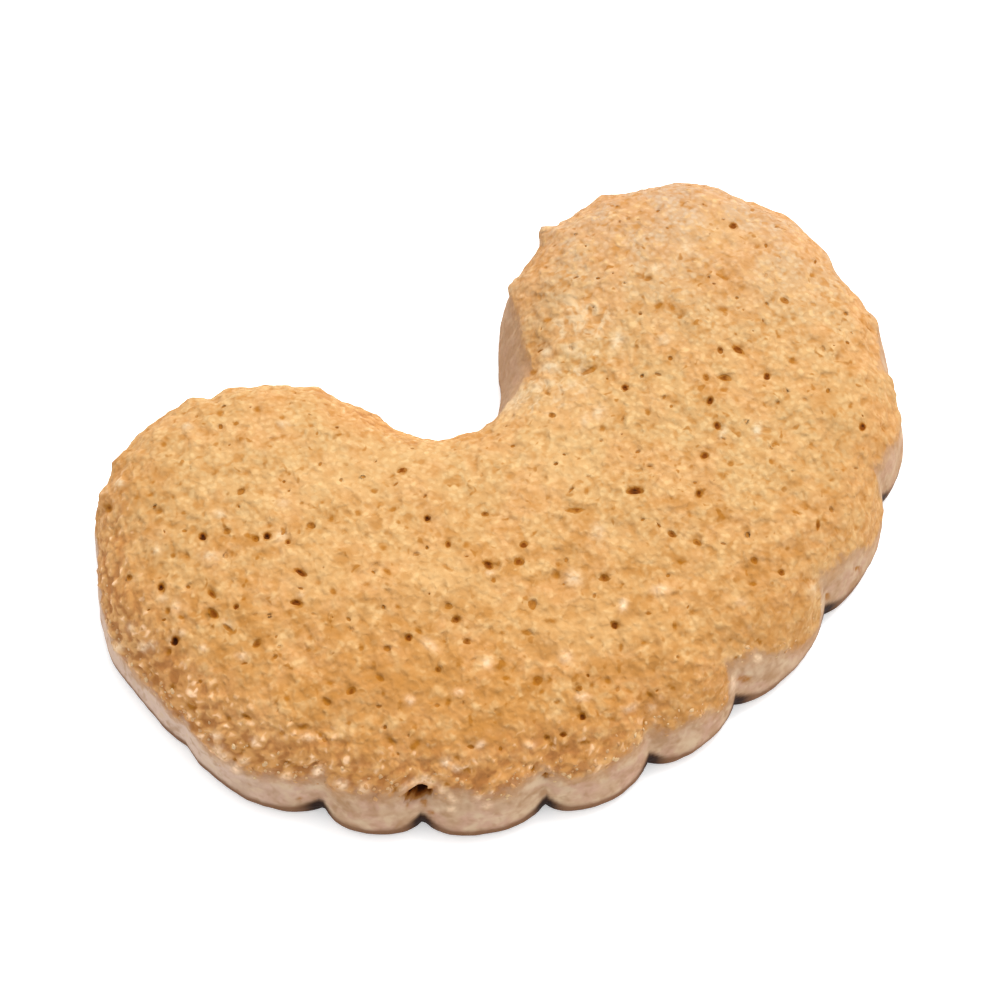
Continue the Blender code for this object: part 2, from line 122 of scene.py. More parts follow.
# The dark spots that the photograph shows: column, row, length and width in its pixels, turn anticlockwise in
# degrees, darkness.
SPOTS = (
    # the right horn
    (734, 225, 8, 8, 0, 0.75), (757, 245, 8, 6, 0, 0.35), (682, 201, 6, 6, 0, 0.3),
    (813, 274, 6, 6, 0, 0.45), (648, 278, 10, 6, 20, 0.5), (726, 277, 9, 6, 0, 0.5),
    (785, 300, 10, 6, -35, 0.65), (658, 305, 9, 6, 30, 0.5), (671, 306, 16, 6, -50, 0.45),
    (680, 316, 6, 5, 20, 0.4), (723, 309, 13, 6, 0, 0.5), (794, 318, 7, 6, 0, 0.35),
    (547, 320, 9, 6, 30, 0.45), (543, 296, 7, 5, -30, 0.35), (720, 350, 6, 8, 0, 0.65),
    (738, 349, 16, 6, -40, 0.75), (792, 360, 8, 7, 0, 0.5), (838, 357, 6, 7, 0, 0.35),
    (588, 371, 18, 6, 25, 0.55), (533, 372, 8, 6, 20, 0.5), (625, 387, 7, 7, 0, 0.85),
    (670, 358, 5, 5, 0, 0.6), (706, 377, 9, 7, -45, 0.65), (725, 377, 15, 6, -5, 0.65),
    (767, 376, 6, 8, 0, 0.85), (724, 389, 10, 6, 0, 0.45), (710, 400, 9, 7, 60, 0.85),
    (547, 393, 12, 4, -45, 0.5), (552, 415, 7, 6, 0, 0.6), (648, 412, 8, 5, -70, 0.5),
    (602, 428, 7, 7, 0, 0.5), (717, 425, 9, 7, -60, 0.8), (868, 380, 6, 5, 0, 0.35),
    (813, 388, 7, 5, 0, 0.35), (851, 405, 8, 5, 60, 0.45), (863, 426, 9, 7, 60, 0.85),
    (885, 428, 7, 6, 0, 0.45), (705, 455, 8, 7, -20, 0.8), (775, 443, 10, 5, 45, 0.45),
    (619, 449, 6, 6, 0, 0.35), (676, 401, 7, 5, 0, 0.3), (580, 268, 6, 5, 0, 0.25),
    (691, 208, 8, 4, 0, 0.25), (695, 259, 22, 5, 0, 0.3),
    # the right side
    (731, 463, 7, 7, 0, 0.5), (772, 461, 6, 7, 0, 0.5), (635, 490, 17, 9, 0, 0.9), (699, 493, 7, 8, 0, 0.8),
    (671, 498, 5, 5, 0, 0.4), (691, 515, 6, 6, 0, 0.35), (672, 534, 10, 6, -35, 0.7),
    (697, 542, 11, 6, -35, 0.6), (681, 561, 10, 6, -10, 0.4), (720, 500, 7, 4, 0, 0.3),
    (797, 512, 12, 4, -15, 0.45), (818, 524, 14, 5, 85, 0.7), (832, 479, 7, 5, 0, 0.35),
    (865, 500, 6, 5, 0, 0.4), (788, 548, 6, 6, 0, 0.4), (754, 560, 7, 7, 0, 0.6), (781, 572, 8, 6, 0, 0.75),
    (752, 583, 10, 5, 0, 0.5), (858, 569, 8, 5, 0, 0.5), (808, 560, 6, 6, 0, 0.3), (648, 613, 6, 5, 0, 0.65),
    (645, 642, 9, 7, 30, 0.45), (621, 647, 10, 5, 85, 0.4), (692, 612, 9, 7, 0, 0.4),
    (675, 626, 9, 5, 90, 0.5), (731, 640, 9, 4, 0, 0.4), (760, 642, 13, 4, -15, 0.5),
    (735, 658, 8, 4, 0, 0.4), (673, 688, 7, 6, 0, 0.4), (650, 695, 9, 5, -35, 0.5),
    (805, 505, 16, 8, -20, 0.3), (808, 580, 20, 7, 0, 0.35), (835, 535, 10, 8, 60, 0.25),
    (745, 680, 18, 9, 0, 0.4), (828, 597, 5, 9, 0, 0.5), (645, 720, 20, 6, 80, 0.35),
    # the left horn
    (220, 412, 8, 8, 0, 0.4), (257, 409, 7, 6, 0, 0.4), (236, 423, 7, 5, 0, 0.6), (282, 417, 7, 6, 0, 0.4),
    (311, 424, 6, 5, 0, 0.4), (163, 444, 7, 6, 0, 0.4), (203, 447, 9, 5, 0, 0.25),
    (215, 472, 15, 6, 50, 0.3), (241, 491, 9, 8, 0, 0.6), (245, 472, 7, 5, 0, 0.3),
    (289, 473, 6, 6, 0, 0.35), (152, 481, 8, 6, 0, 0.35), (149, 494, 8, 6, 0, 0.45),
    (136, 497, 6, 6, 0, 0.4), (173, 497, 8, 5, -50, 0.3), (158, 510, 9, 7, 0, 0.45),
    (107, 508, 12, 12, 0, 0.55), (295, 487, 6, 6, 0, 0.3), (374, 490, 9, 6, 0, 0.45),
    (346, 464, 9, 5, 0, 0.35), (402, 470, 10, 7, 20, 0.8), (391, 475, 8, 4, 35, 0.4),
    (393, 509, 8, 6, 0, 0.5), (358, 512, 8, 7, 0, 0.45), (322, 502, 7, 5, 0, 0.3), (311, 525, 8, 8, 0, 0.6),
    (331, 518, 7, 7, 0, 0.45), (344, 522, 7, 6, 0, 0.3), (227, 531, 9, 7, 0, 0.55),
    (203, 536, 8, 8, 0, 0.95), (255, 539, 8, 7, 0, 0.6), (267, 536, 8, 8, 0, 1.0), (283, 529, 6, 6, 0, 0.45),
    (270, 525, 7, 6, 0, 0.35), (288, 542, 6, 6, 0, 0.8), (299, 531, 7, 5, 90, 0.4),
    (367, 534, 7, 6, 0, 0.35), (384, 548, 8, 6, 0, 0.4), (231, 553, 8, 7, 90, 0.4),
    (173, 555, 6, 5, 0, 0.45), (187, 556, 8, 5, -60, 0.4), (152, 552, 6, 5, 0, 0.3),
    (115, 530, 12, 8, 50, 0.25), (129, 577, 6, 6, 0, 0.6),
    # the left half of the front
    (161, 587, 8, 7, 90, 0.95), (300, 572, 15, 7, -25, 0.85), (297, 602, 12, 7, -15, 0.85),
    (212, 594, 13, 7, -45, 0.7), (243, 598, 5, 5, 0, 0.5), (236, 607, 6, 6, 0, 0.8),
    (213, 613, 14, 7, -45, 0.75), (167, 610, 8, 6, 90, 0.5), (181, 617, 7, 5, 0, 0.5),
    (130, 617, 8, 6, 0, 0.35), (228, 628, 14, 5, -40, 0.6), (175, 640, 9, 9, 0, 1.0),
    (168, 652, 10, 7, 50, 0.55), (257, 643, 11, 7, 50, 0.7), (268, 636, 8, 4, 20, 0.35),
    (333, 591, 10, 6, -45, 0.5), (289, 612, 8, 5, -70, 0.4), (309, 649, 7, 6, 0, 0.45),
    (311, 638, 8, 8, 0, 0.35), (361, 647, 8, 6, 90, 0.5), (272, 659, 6, 5, 0, 0.3), (331, 682, 9, 5, 0, 0.4),
    (172, 687, 9, 8, 0, 0.55), (352, 690, 11, 8, 20, 0.65), (327, 701, 11, 7, -30, 0.55),
    (287, 698, 7, 7, 0, 0.4), (192, 707, 12, 8, -45, 0.45), (246, 717, 14, 6, -35, 0.6),
    (228, 719, 6, 6, 0, 0.4), (303, 727, 16, 6, 10, 0.45), (281, 733, 8, 7, 0, 0.45),
    (348, 723, 6, 5, 0, 0.4), (248, 746, 10, 6, -35, 0.45), (235, 760, 6, 6, 0, 0.6),
    (366, 584, 7, 5, 0, 0.4), (318, 582, 8, 7, 90, 0.35), (380, 678, 10, 6, -40, 0.55),
    (383, 693, 8, 5, 90, 0.35), (216, 685, 22, 7, 75, 0.3), (290, 765, 20, 5, -10, 0.4),
    (241, 752, 7, 6, 0, 0.45), (150, 672, 14, 5, -60, 0.35), (345, 744, 14, 5, 10, 0.3),
    (320, 735, 12, 5, -40, 0.4), (424, 803, 14, 10, -60, 0.35), (431, 813, 12, 7, 0, 0.3),
    (408, 806, 6, 16, 0, 0.25), (300, 800, 9, 6, 0, 0.3),
    # the middle
    (427, 518, 7, 7, 0, 1.0), (485, 514, 8, 6, 0, 0.65), (495, 514, 12, 4, 0, 0.3),
    (576, 510, 22, 6, 0, 0.65), (448, 544, 8, 6, 80, 0.75), (524, 544, 9, 7, 30, 0.8),
    (534, 533, 10, 4, 50, 0.4), (458, 484, 6, 6, 0, 0.35), (587, 490, 8, 6, 70, 0.45),
    (407, 527, 5, 5, 0, 0.4), (466, 545, 8, 7, 60, 0.4), (387, 571, 10, 5, -35, 0.5),
    (488, 564, 14, 9, -20, 0.75), (497, 562, 12, 10, 90, 0.4), (519, 561, 9, 8, 0, 0.75),
    (493, 580, 6, 6, 0, 0.55), (448, 567, 12, 5, -25, 0.4), (556, 575, 10, 8, 0, 0.45),
    (558, 564, 5, 5, 0, 0.5), (604, 578, 11, 9, 0, 0.6), (533, 604, 11, 8, 90, 0.6),
    (448, 606, 8, 6, 0, 0.55), (456, 619, 10, 8, 15, 0.75), (398, 606, 8, 6, -20, 0.4),
    (409, 637, 8, 7, 60, 0.85), (419, 631, 12, 5, -35, 0.55), (467, 641, 8, 6, 0, 0.7),
    (387, 648, 8, 6, -30, 0.55), (444, 640, 6, 5, 0, 0.3), (492, 630, 8, 6, 90, 0.3),
    (502, 633, 6, 5, 0, 0.4), (526, 632, 11, 5, -10, 0.45), (550, 621, 18, 6, 0, 0.35),
    (615, 624, 9, 7, -25, 0.85), (592, 637, 5, 4, 0, 0.35), (570, 588, 22, 7, 0, 0.25),
    # the right half of the front
    (438, 669, 7, 6, 90, 0.7), (458, 664, 8, 5, 80, 0.3), (507, 678, 9, 5, 0, 0.5),
    (537, 680, 11, 9, 20, 0.65), (542, 692, 7, 6, 90, 0.4), (579, 688, 8, 5, 10, 0.7),
    (592, 685, 8, 6, 70, 0.45), (608, 681, 8, 6, -60, 0.4), (448, 701, 12, 7, 75, 0.5),
    (557, 702, 7, 5, 0, 0.4), (582, 716, 7, 7, 0, 0.9), (415, 745, 14, 8, 50, 0.45),
    (391, 741, 12, 6, -40, 0.4), (547, 738, 8, 6, -30, 0.7), (553, 745, 8, 5, -30, 0.5),
    (563, 734, 7, 5, 0, 0.75), (585, 743, 12, 5, 0, 0.5), (565, 748, 14, 5, 20, 0.35),
    (457, 758, 7, 5, 0, 0.4), (468, 770, 13, 5, 0, 0.45), (534, 769, 8, 7, 60, 0.55),
    (545, 776, 7, 7, 0, 0.8), (447, 784, 6, 5, 0, 0.5), (395, 790, 8, 5, 0, 0.45),
    (628, 690, 14, 6, -20, 0.3), (612, 719, 20, 6, 0, 0.3), (580, 758, 24, 7, 0, 0.3),
    (500, 715, 8, 6, 0, 0.3),
)
# The light spots, pale crumbs partly painted as highlights, in the same way, with how pale each is in place
# of darkness.
LIGHTS = (
    (573, 578, 16, 14, 0, 0.6), (598, 531, 16, 12, 90, 0.5), (490, 573, 7, 6, 0, 0.6),
    (281, 536, 11, 8, 30, 0.6), (130, 628, 8, 8, 0, 0.6), (119, 647, 8, 8, 0, 0.8),
    (143, 647, 9, 7, 90, 0.9), (152, 645, 9, 9, 0, 0.6), (119, 483, 9, 5, 0, 0.9), (157, 551, 7, 7, 0, 0.7),
    (176, 607, 10, 8, 80, 0.6), (203, 648, 7, 7, 0, 0.5), (216, 736, 10, 7, 0, 0.7),
    (218, 749, 9, 8, 0, 0.7), (236, 768, 9, 8, -50, 0.8), (243, 761, 8, 7, 0, 0.7),
    (254, 742, 8, 6, 80, 0.7), (318, 771, 10, 8, 30, 1.0), (286, 776, 9, 6, 0, 0.7),
    (342, 784, 11, 8, -20, 0.8), (364, 788, 9, 9, 0, 0.8), (308, 737, 12, 6, 0, 0.6),
    (446, 762, 8, 8, 0, 0.8), (456, 768, 8, 6, -20, 0.8), (424, 779, 9, 7, 20, 0.7),
    (451, 809, 9, 6, 0, 0.6), (487, 806, 10, 6, 0, 0.5), (757, 658, 8, 7, 0, 1.0),
    (623, 605, 11, 7, 80, 0.8), (660, 590, 14, 8, 0, 0.6), (757, 430, 13, 7, 80, 0.9),
    (723, 433, 12, 6, 70, 0.6), (617, 340, 15, 9, 80, 0.7), (664, 340, 10, 9, 0, 0.6),
    (547, 352, 10, 10, 0, 0.7), (551, 368, 14, 9, 0, 0.8), (405, 787, 9, 5, 45, 0.5),
    (416, 781, 11, 5, 15, 0.6), (430, 781, 13, 6, -15, 0.6), (442, 789, 11, 6, -45, 0.6),
    (452, 798, 12, 6, -45, 0.6), (572, 384, 9, 8, 0, 0.6), (598, 413, 14, 10, 60, 0.6),
    (585, 420, 8, 12, 0, 0.5), (685, 249, 10, 8, 90, 0.6), (655, 268, 8, 10, 0, 0.5),
    (540, 385, 10, 6, 30, 0.6), (517, 402, 26, 12, 45, 0.55), (220, 514, 10, 7, 0, 0.6),
    (210, 556, 16, 9, 0, 0.5), (187, 427, 10, 6, 0, 0.6), (283, 424, 12, 6, 0, 0.5),
    (282, 503, 10, 6, 0, 0.5), (242, 656, 12, 6, 0, 0.5), (300, 595, 8, 5, 30, 0.4),
    (487, 663, 9, 8, 30, 0.6), (459, 692, 8, 6, 0, 0.6), (410, 700, 8, 8, 0, 0.6), (583, 697, 12, 7, 0, 0.6),
    (630, 708, 12, 6, 20, 0.5), (566, 657, 12, 12, 0, 0.4), (480, 745, 9, 6, 40, 0.6),
    (530, 745, 10, 7, 0, 0.4), (430, 645, 18, 8, -40, 0.4), (652, 708, 9, 6, 0, 0.4),
    (741, 602, 9, 7, 0, 0.4), (813, 590, 10, 14, 0, 0.5), (733, 680, 6, 14, 0, 0.6),
    (478, 797, 7, 5, 0, 0.6), (172, 640, 7, 6, 60, 0.7), (182, 633, 6, 6, 0, 0.5),
    (228, 623, 9, 5, -30, 0.6), (163, 598, 9, 7, 0, 0.4), (225, 756, 10, 8, -20, 0.7),
)
# The broad patches of the crust that are browner or paler than the rest, in the same way.
BROWNER = (
    (392, 683, 130, 56, 0, 0.75), (860, 450, 110, 120, 0, 0.35), (132, 482, 80, 70, 0, 0.45),
    (765, 602, 60, 90, 0, 0.4), (515, 738, 60, 46, 0, 0.35), (232, 662, 70, 60, 0, 0.25),
    (570, 572, 50, 40, 0, 0.25), (612, 690, 80, 50, 0, 0.25),
)
PALER = (
    (312, 580, 64, 56, 0, 0.4), (438, 582, 110, 56, 0, 0.38), (594, 632, 120, 56, 0, 0.34),
    (345, 478, 110, 56, 0, 0.28), (565, 455, 70, 100, 0, 0.32), (258, 732, 90, 56, -30, 0.35),
    (120, 640, 50, 70, 0, 0.6), (715, 230, 60, 40, 0, 0.3),
)
HOLE_DARKNESS = 0.55  # a spot at least this dark is a hole, and the others are shallow dents
HOLE_DEPTH = 1.2  # a hole's depth beside its half width and its darkness
HOLE_SHADE = 0.85  # a hole is painted this dark beside its darkness, because it shades itself too
HOLES_APART = 1.4  # the least way between two holes, beside the sum of their half lengths
DENT_DEPTH = 0.45
# How soft the edges of dents, holes, light spots and broad patches are.
DENT_SOFT, HOLE_SOFT, LIGHT_SOFT, PATCH_SOFT = 1.2, 0.75, 1.15, 1.0
# The small seeded pits: how many, the places tried, their half width, half length beside it, turn in degrees,
# darkness, depth beside half width and darkness, and the least way apart, beside the sum of half lengths and
# on top of it.
PIT_COUNT = 150
PIT_TRIES = 3000
PIT_HALF_SIZE = (0.1, 0.22)
PIT_LENGTH = (1.0, 2.2)
PIT_TURN = (-80.0, 80.0)
PIT_DARKNESS = (0.3, 0.6)
PIT_DEPTH = 2.0
PITS_APART = 1.3
PIT_GAP = 0.3
RIM_GAP = 0.7  # between a pit or hole and the rim
PIT_RINGS = ((1.1, 0.0), (0.85, 0.55), (0.5, 0.95))  # each ring of a pit: beside its half size, how deep
PIT_UNEVEN = 0.45  # how far its rings are out of round
WIDE_PIT = (0.3, 12, 8)  # above which half width a ring has more points, how many, and how many below it
PIT_CLEAR = (1.25, 0.35)  # the top's points stay this far off, beside a pit's half length and their step
SEED = 11

# The height at which the golden crust begins above the pale side, at places along the edge.
CRUST_FROM = (
    *((-101.0, 6.0), (-85.0, 5.4), (-72.0, 3.9), (-62.0, 4.5), (-50.0, 5.0), (-38.0, 6.1), (-27.0, 7.0)),
    *((-17.0, 7.0), (-9.0, 6.1), (-2.0, 6.3), (6.0, 7.4), (16.0, 7.5)),
    *((60.0, 7.2), (90.0, 6.3), (98.0, 6.3), (103.0, 7.5), (112.0, 8.2), (118.0, 6.0)),
)
VALLEY_RISE = 0.5  # how much higher it begins in a valley
EDGE_WANDER = ((0.7, 2.4, 4), (0.3, 0.8, 5))  # how far that edge wanders up and down, over what length, seed
GOLDEN = (-0.6, 0.6)  # between which heights about that edge the side turns into crust
# On the right, the crust runs down toward the base on the far half of each scallop: between which places
# along the edge, over which shares of the scallop it comes down and goes up again, and how far.
RUN_DOWN = ((-2.0, 12.0), (38.0, 52.0), (0.2, 0.72), (0.84, 1.0), 4.2)
# In front the browned foot spreads, and on the right it does so on the near half of each scallop: between
# which places along the edge it starts, turns to half scallops and ends, over which shares of a scallop it
# fades, the share of its inset that it takes back, and up to which height.
SPREAD_FOOT = ((-72.0, -62.0), (-5.0, 6.0), (42.0, 52.0), (0.2, 0.75), 0.72, 1.3)
# The spread foot's darkness is painted shade, under the side that overhangs it.
FOOT_SHADE = (0.5, 1.1, 0.45)  # up to which height the spread foot is darkest, where that ends, how dark it is
# On the left the whole wall stands out a little more, or less: place along the edge, half length, how far.
FULLER = ((-62.0, 5.0, 0.35), (-51.0, 6.0, 0.5), (-75.4, 3.2, 0.45), (-70.2, 3.0, -0.32))
FOOT_CUT = 0.9  # how far the foot of a valley on the front stands in under it
FOOT_CUT_TALL = 3.0  # up to which height it does
FRONT = ((-52.0, -38.0), (32.0, 52.0))  # between which places along the edge the front starts and ends
# The browned foot, partly real browning and partly painted shade along the base: up to which height it is
# fully brown, where it ends, how much taller it is in a valley, and over which height above its own level a
# valley's foot turns darker into the painted shade of its fold.
BROWN_AND_SHADED_FOOT = (1.5, 2.5, 1.7, (0.2, 1.2))
# The notch's darker side is painted shade, as the notch's wall lies in shade.
NOTCH_SHADE_PART = (94.0, 102.0)  # between which places along the edge the notch's darker side begins
LEFT_PART = ((-90.0, -78.0), (-54.0, -32.0))  # the same for the start and the end of the left's paler side

# The relief of crust and side: height and length of each size of bump, finest last.
CRUST_RELIEF = ((0.16, 1.8), (0.15, 0.9), (0.05, 0.5))
CRUMB_RELIEF = (0.2, 0.85)  # height and width of the rounded crumbs that the crust is made of
CRUMB_BEND = (0.45, 1.4)  # how far the crumbs are bent out of round, and how finely
CRUMB_RISE = (0.55, 1.6)  # how high they stand, and how much higher near the crumbly rim
# The rim is crumbly on the left and near the camera, where x and y are low: over which stretch each ends,
# over which it fades up the crust and below the crust's start, and the least share elsewhere along the rim.
CRUMBLY = ((-14.0, 4.0), (8.0, 18.0), (3.0, 8.0), (-0.8, 0.4), 0.2)
SIDE_RELIEF = ((0.09, 2.2), (0.05, 0.8))
SIDE_SQUEEZE = 0.3  # the side's bumps are this flat
CRUST_LIP = (0.14, 0.5, 0.5)  # how far the crust's lower edge stands out, how far up, and half its height
FLAKES = ((8.5, 1.5, 6.5, 4.0), (14.5, 5.0, 4.5, 6.0))  # x, y and half sizes of the flaky patches
FLAKE_RISE = (0.2, 1.3, 0.6)  # a flake's height, length and roundness
LIGHT_LIFT = 0.14  # how far a light crumb stands up
PIT_EVEN = 0.7  # how much of the relief a pit takes away
EVEN_FOOT = 0.8  # the relief grows up to this height above the base

# Loose crumbs that stick to the crust: how many, half size, how uneven, how stretched, how flat and how sunk.
GRAIN_COUNT = 290
GRAIN_HALF_SIZE = (0.12, 0.34)
GRAIN_UNEVEN = (-0.3, 0.3)
GRAIN_STRETCH = (0.65, 1.3)
GRAIN_FLAT = 0.5
GRAIN_SUNK = 0.2
# Where they stick: how far above the crust's start, over which half height, between which places along the
# edge the front starts and ends, and the share elsewhere.
GRAIN_PLACES = (0.9, 1.1, (-74.0, -58.0), (0.0, 30.0), 0.03)

# How the surface is laid out flat, on a square of side 1: a millimetre, the top's corner, the wall's strips
# with their first corner, height and gap, and the base's corner and millimetre.
MAP_MM = 0.0101
MAP_TOP = 0.01
MAP_STRIPS = 3
MAP_WALL = (0.02, 0.63)
MAP_STRIP_TALL = 0.105
MAP_GAP = 0.015
MAP_BASE = (0.88, 0.02)
MAP_BASE_MM = 0.0019


def edge_line():
    """The edge without scallops, anticlockwise from the outer side's middle: places, normals, lengths."""
    start = math.radians(HORN_START)
    horn = np.array((math.cos(start), math.sin(start))) * (OUTER_RADIUS - HORN_RADIUS)
    notch_y = horn[1] + math.sqrt((HORN_RADIUS + NOTCH_RADIUS) ** 2 - horn[0] ** 2)
    turn = math.atan2(notch_y - horn[1], -horn[0])
    arcs = (
        ((0.0, 0.0), OUTER_RADIUS, -math.pi / 2, start),
        (horn, HORN_RADIUS, start, turn),
        ((0.0, notch_y), NOTCH_RADIUS, turn - math.pi, -math.pi / 2),
    )
    places = []
    normals = []
    for centre, radius, first, last in arcs:
        count = max(6, int(abs(last - first) * radius / LINE_STEP))
        a = np.linspace(first, last, count, endpoint=False)
        ray = np.stack([np.cos(a), np.sin(a)], axis=1)
        places.append(np.array(centre) + ray * radius)
        normals.append(ray * (1.0 if last > first else -1.0))
    places = np.concatenate(places + [np.array([[0.0, notch_y - NOTCH_RADIUS]])])
    normals = np.concatenate(normals + [np.array([[0.0, 1.0]])])
    mirror = np.array((-1.0, 1.0))
    places = np.concatenate([places, (places * mirror)[-2::-1]])
    normals = np.concatenate([normals, (normals * mirror)[-2::-1]])
    lengths = np.concatenate([[0.0], np.cumsum(np.linalg.norm(np.diff(places, axis=0), axis=1))])
    return places, normals, lengths


def swollen(places, normals):
    """The edge line with its outer side spread sideways, and one half fuller than the other."""
    angle = np.arctan2(places[:, 1], places[:, 0]) + math.pi / 2
    far = smooth_step(*SWELLS, np.hypot(places[:, 0], places[:, 1]) / OUTER_RADIUS)
    swell = far * (-SPREAD * np.cos(2 * angle) + SHIFT * np.sin(angle) + SKEW * np.sin(3 * angle))
    return places + normals * swell[:, None]


def smooth_step(low, high, x):
    """0 below low, 1 above high, and a smooth rise between them."""
    t = np.clip((x - low) / (high - low), 0.0, 1.0)
    return t * t * (3.0 - 2.0 * t)


def scallop_shape(u):
    """For each place along the edge: 0 in a valley up to 1 in a scallop's middle, its bulge, share passed."""
    shape = np.ones(len(u))
    bulge = np.zeros(len(u))
    passed = np.zeros(len(u))
    for low, high, size in zip(VALLEYS, VALLEYS[1:], BULGES):
        here = (u >= low) & (u < high)
        f = (u[here] - low) / (high - low)
        shape[here] = 1.0 - (2.0 * f - 1.0) ** 2
        bulge[here] = size
        passed[here] = f
    return shape, bulge, passed


def on_front(u):
    """1 for places along the front of the scalloped side, down to 0 round its ends."""
    starts, ends = FRONT
    return smooth_step(*starts, u) * (1.0 - smooth_step(*ends, u))


def foot_spread(u):
    """How much the foot spreads at each place along the edge, 0 to 1."""
    starts, turns, ends, fades, _, _ = SPREAD_FOOT
    near_half = smooth_step(*turns, u) * smooth_step(*fades, scallop_shape(u)[2])
    return smooth_step(*starts, u) * (1.0 - smooth_step(*ends, u)) * (1.0 - near_half)


def noise_at(points, length, seed):
    """Smooth noise at each point, about -1 to 1, with bumps of the given length."""
    shift = Vector((seed * 7.3, seed * 3.1, seed * 5.7))
    return np.array([noise.noise(Vector(p) / length + shift) for p in points])


def wall_rows():
    """The wall's section as evenly spaced rows: heights, insets, shares."""
    rows = np.array(WALL)
    lengths = np.concatenate([[0.0], np.cumsum(np.linalg.norm(np.diff(rows[:, :2], axis=0), axis=1))])
    slopes = np.gradient(rows, lengths, axis=0)
    count = round(lengths[-1] / WALL_STEP)
    out = []
    for s in np.linspace(0.0, lengths[-1], count + 1):
        i = min(int(np.searchsorted(lengths, s, side="right")) - 1, len(rows) - 2)
        h = lengths[i + 1] - lengths[i]
        t = (s - lengths[i]) / h
        out.append(
            (1 + 2 * t) * (1 - t) ** 2 * rows[i]
            + t * (1 - t) ** 2 * h * slopes[i]
            + t * t * (3 - 2 * t) * rows[i + 1]
            + t * t * (t - 1) * h * slopes[i + 1]
        )
    return np.array(out)


def lip_hole_depth(u, height):
    """How deep each place of the wall lies in the hole under the lip, 0 to 1."""
    at, level, half, half_height, _ = LIP_HOLE
    r = np.hypot((u - at) / half, (height - level) / half_height)
    return np.sqrt(np.clip(1.0 - r * r, 0.0, None))


def build_wall():
    """The wall's points, row by row from the base, and for each column its place along the edge."""
    places, normals, lengths = edge_line()
    total = lengths[-1]
    places = swollen(places, normals)
    columns = np.linspace(0.0, total, round(total / EDGE_STEP), endpoint=False)
    where = np.stack([np.interp(columns, lengths, places[:, k]) for k in (0, 1)], axis=1)
    facing = np.stack([np.interp(columns, lengths, normals[:, k]) for k in (0, 1)], axis=1)
    facing /= np.linalg.norm(facing, axis=1)[:, None]
    u = (columns + total / 2) % total - total / 2
    shape, bulge, _ = scallop_shape(u)
    fuller = np.zeros(len(u))
    for at, half, size in FULLER:
        fuller += size * np.cos(math.pi / 2 * np.clip((u - at) / half, -1.0, 1.0)) ** 2
    back, tall = SPREAD_FOOT[4:]
    spread = back * foot_spread(u)
    rings = []
    for height, inset, share in wall_rows():
        out = share * shape * bulge - inset + fuller
        if height < tall:
            out += spread * inset
        up = height / WALL[-1][0]
        for (at, half, inward), part in ((LEAN, up), (FOOT, 1.0 - up)):
            out -= inward * part * np.cos(math.pi / 2 * np.clip(np.abs(u - at) / half, 0.0, 1.0)) ** 2
        lip = max(0.0, 1.0 - abs(height - LIP_LEVEL) / LIP_TALL)
        level = np.full((len(u), 1), height)
        rough = noise_at(np.hstack([where, level]), ROUGH_LENGTH, 0)
        out += min(1.0, height / SMOOTH_FOOT) * (WALL_ROUGH + LIP_ROUGH * lip) * rough
        for at, size, half in NIBS:
            out += size * lip * np.clip(1.0 - np.abs(u - at) / half, 0.0, None)
        out -= FOOT_CUT * on_front(u) * (1.0 - shape) ** 3 * max(0.0, 1.0 - height / FOOT_CUT_TALL)
        out -= LIP_HOLE[4] * lip_hole_depth(u, height)
        rings.append(np.hstack([where + facing * out[:, None], level]))
    return rings, u


def inside(points, loop):
    """Which points lie inside a closed loop."""
    x, y = points[:, 0], points[:, 1]
    found = np.zeros(len(points), dtype=bool)
    for (x0, y0), (x1, y1) in zip(loop, np.roll(loop, -1, axis=0)):
        if y0 != y1:
            crosses = (y0 > y) != (y1 > y)
            found ^= crosses & (x < (x1 - x0) * (y - y0) / (y1 - y0) + x0)
    return found


def edge_distance(points, loop):
    """The shortest way from each point to a closed loop."""
    best = np.full(len(points), 1e9)
    for a, b in zip(loop, np.roll(loop, -1, axis=0)):
        along = b - a
        t = np.clip(((points - a) @ along) / (along @ along), 0.0, 1.0)
        best = np.minimum(best, np.sum((points - a - t[:, None] * along) ** 2, axis=1))
    return np.sqrt(best)


def view_axes():
    """The camera's right, up and backward directions."""
    azimuth, elevation = math.radians(VIEW_AZIMUTH), math.radians(VIEW_ELEVATION)
    right = np.array((math.cos(azimuth), -math.sin(azimuth), 0.0))
    flat = math.cos(elevation)
    back = np.array((-flat * math.sin(azimuth), -flat * math.cos(azimuth), math.sin(elevation)))
    return right, np.cross(back, right), back


def photo_places(points):
    """The column and row at which the camera sees each point."""
    right, up, back = view_axes()
    scale = PIXELS_PER_MM * VIEW_DISTANCE / (VIEW_DISTANCE - points @ back)
    return np.column_stack([AIM_PIXEL[0] + scale * (points @ right), AIM_PIXEL[1] - scale * (points @ up)])


def crust_places(pixels, loop):
    """Where on the crust each column and row lies."""
    right, up, back = view_axes()
    eye = back * VIEW_DISTANCE
    offset = (pixels - AIM_PIXEL) / PIXELS_PER_MM
    ray = np.outer(offset[:, 0], right) - np.outer(offset[:, 1], up) - eye
    height = np.full(len(pixels), WALL[-1][0] + DOME[0][0])
    for _ in range(5):
        found = eye + ray * ((height - eye[2]) / ray[:, 2])[:, None]
        height = top_height(found[:, :2], loop)
    return found[:, :2]


def spot_field(points, normals, spots, soft):
    """How strongly each point that faces the camera lies in any of the spots, 0 to 1."""
    pixels = photo_places(points)
    strength = np.zeros(len(points))
    for column, row, length, width, turn, level in spots:
        across = pixels - (column, row)
        near = np.flatnonzero(np.abs(across).max(axis=1) < 1.5 * length + 4)
        c, s = math.cos(math.radians(turn)), -math.sin(math.radians(turn))
        p = (across[near, 0] * c + across[near, 1] * s) / (length / 2)
        q = (across[near, 1] * c - across[near, 0] * s) / (width / 2)
        strength[near] = np.maximum(strength[near], level * np.exp(-((p * p + q * q) / soft)))
    return strength * smooth_step(0.05, 0.3, normals @ view_axes()[2])


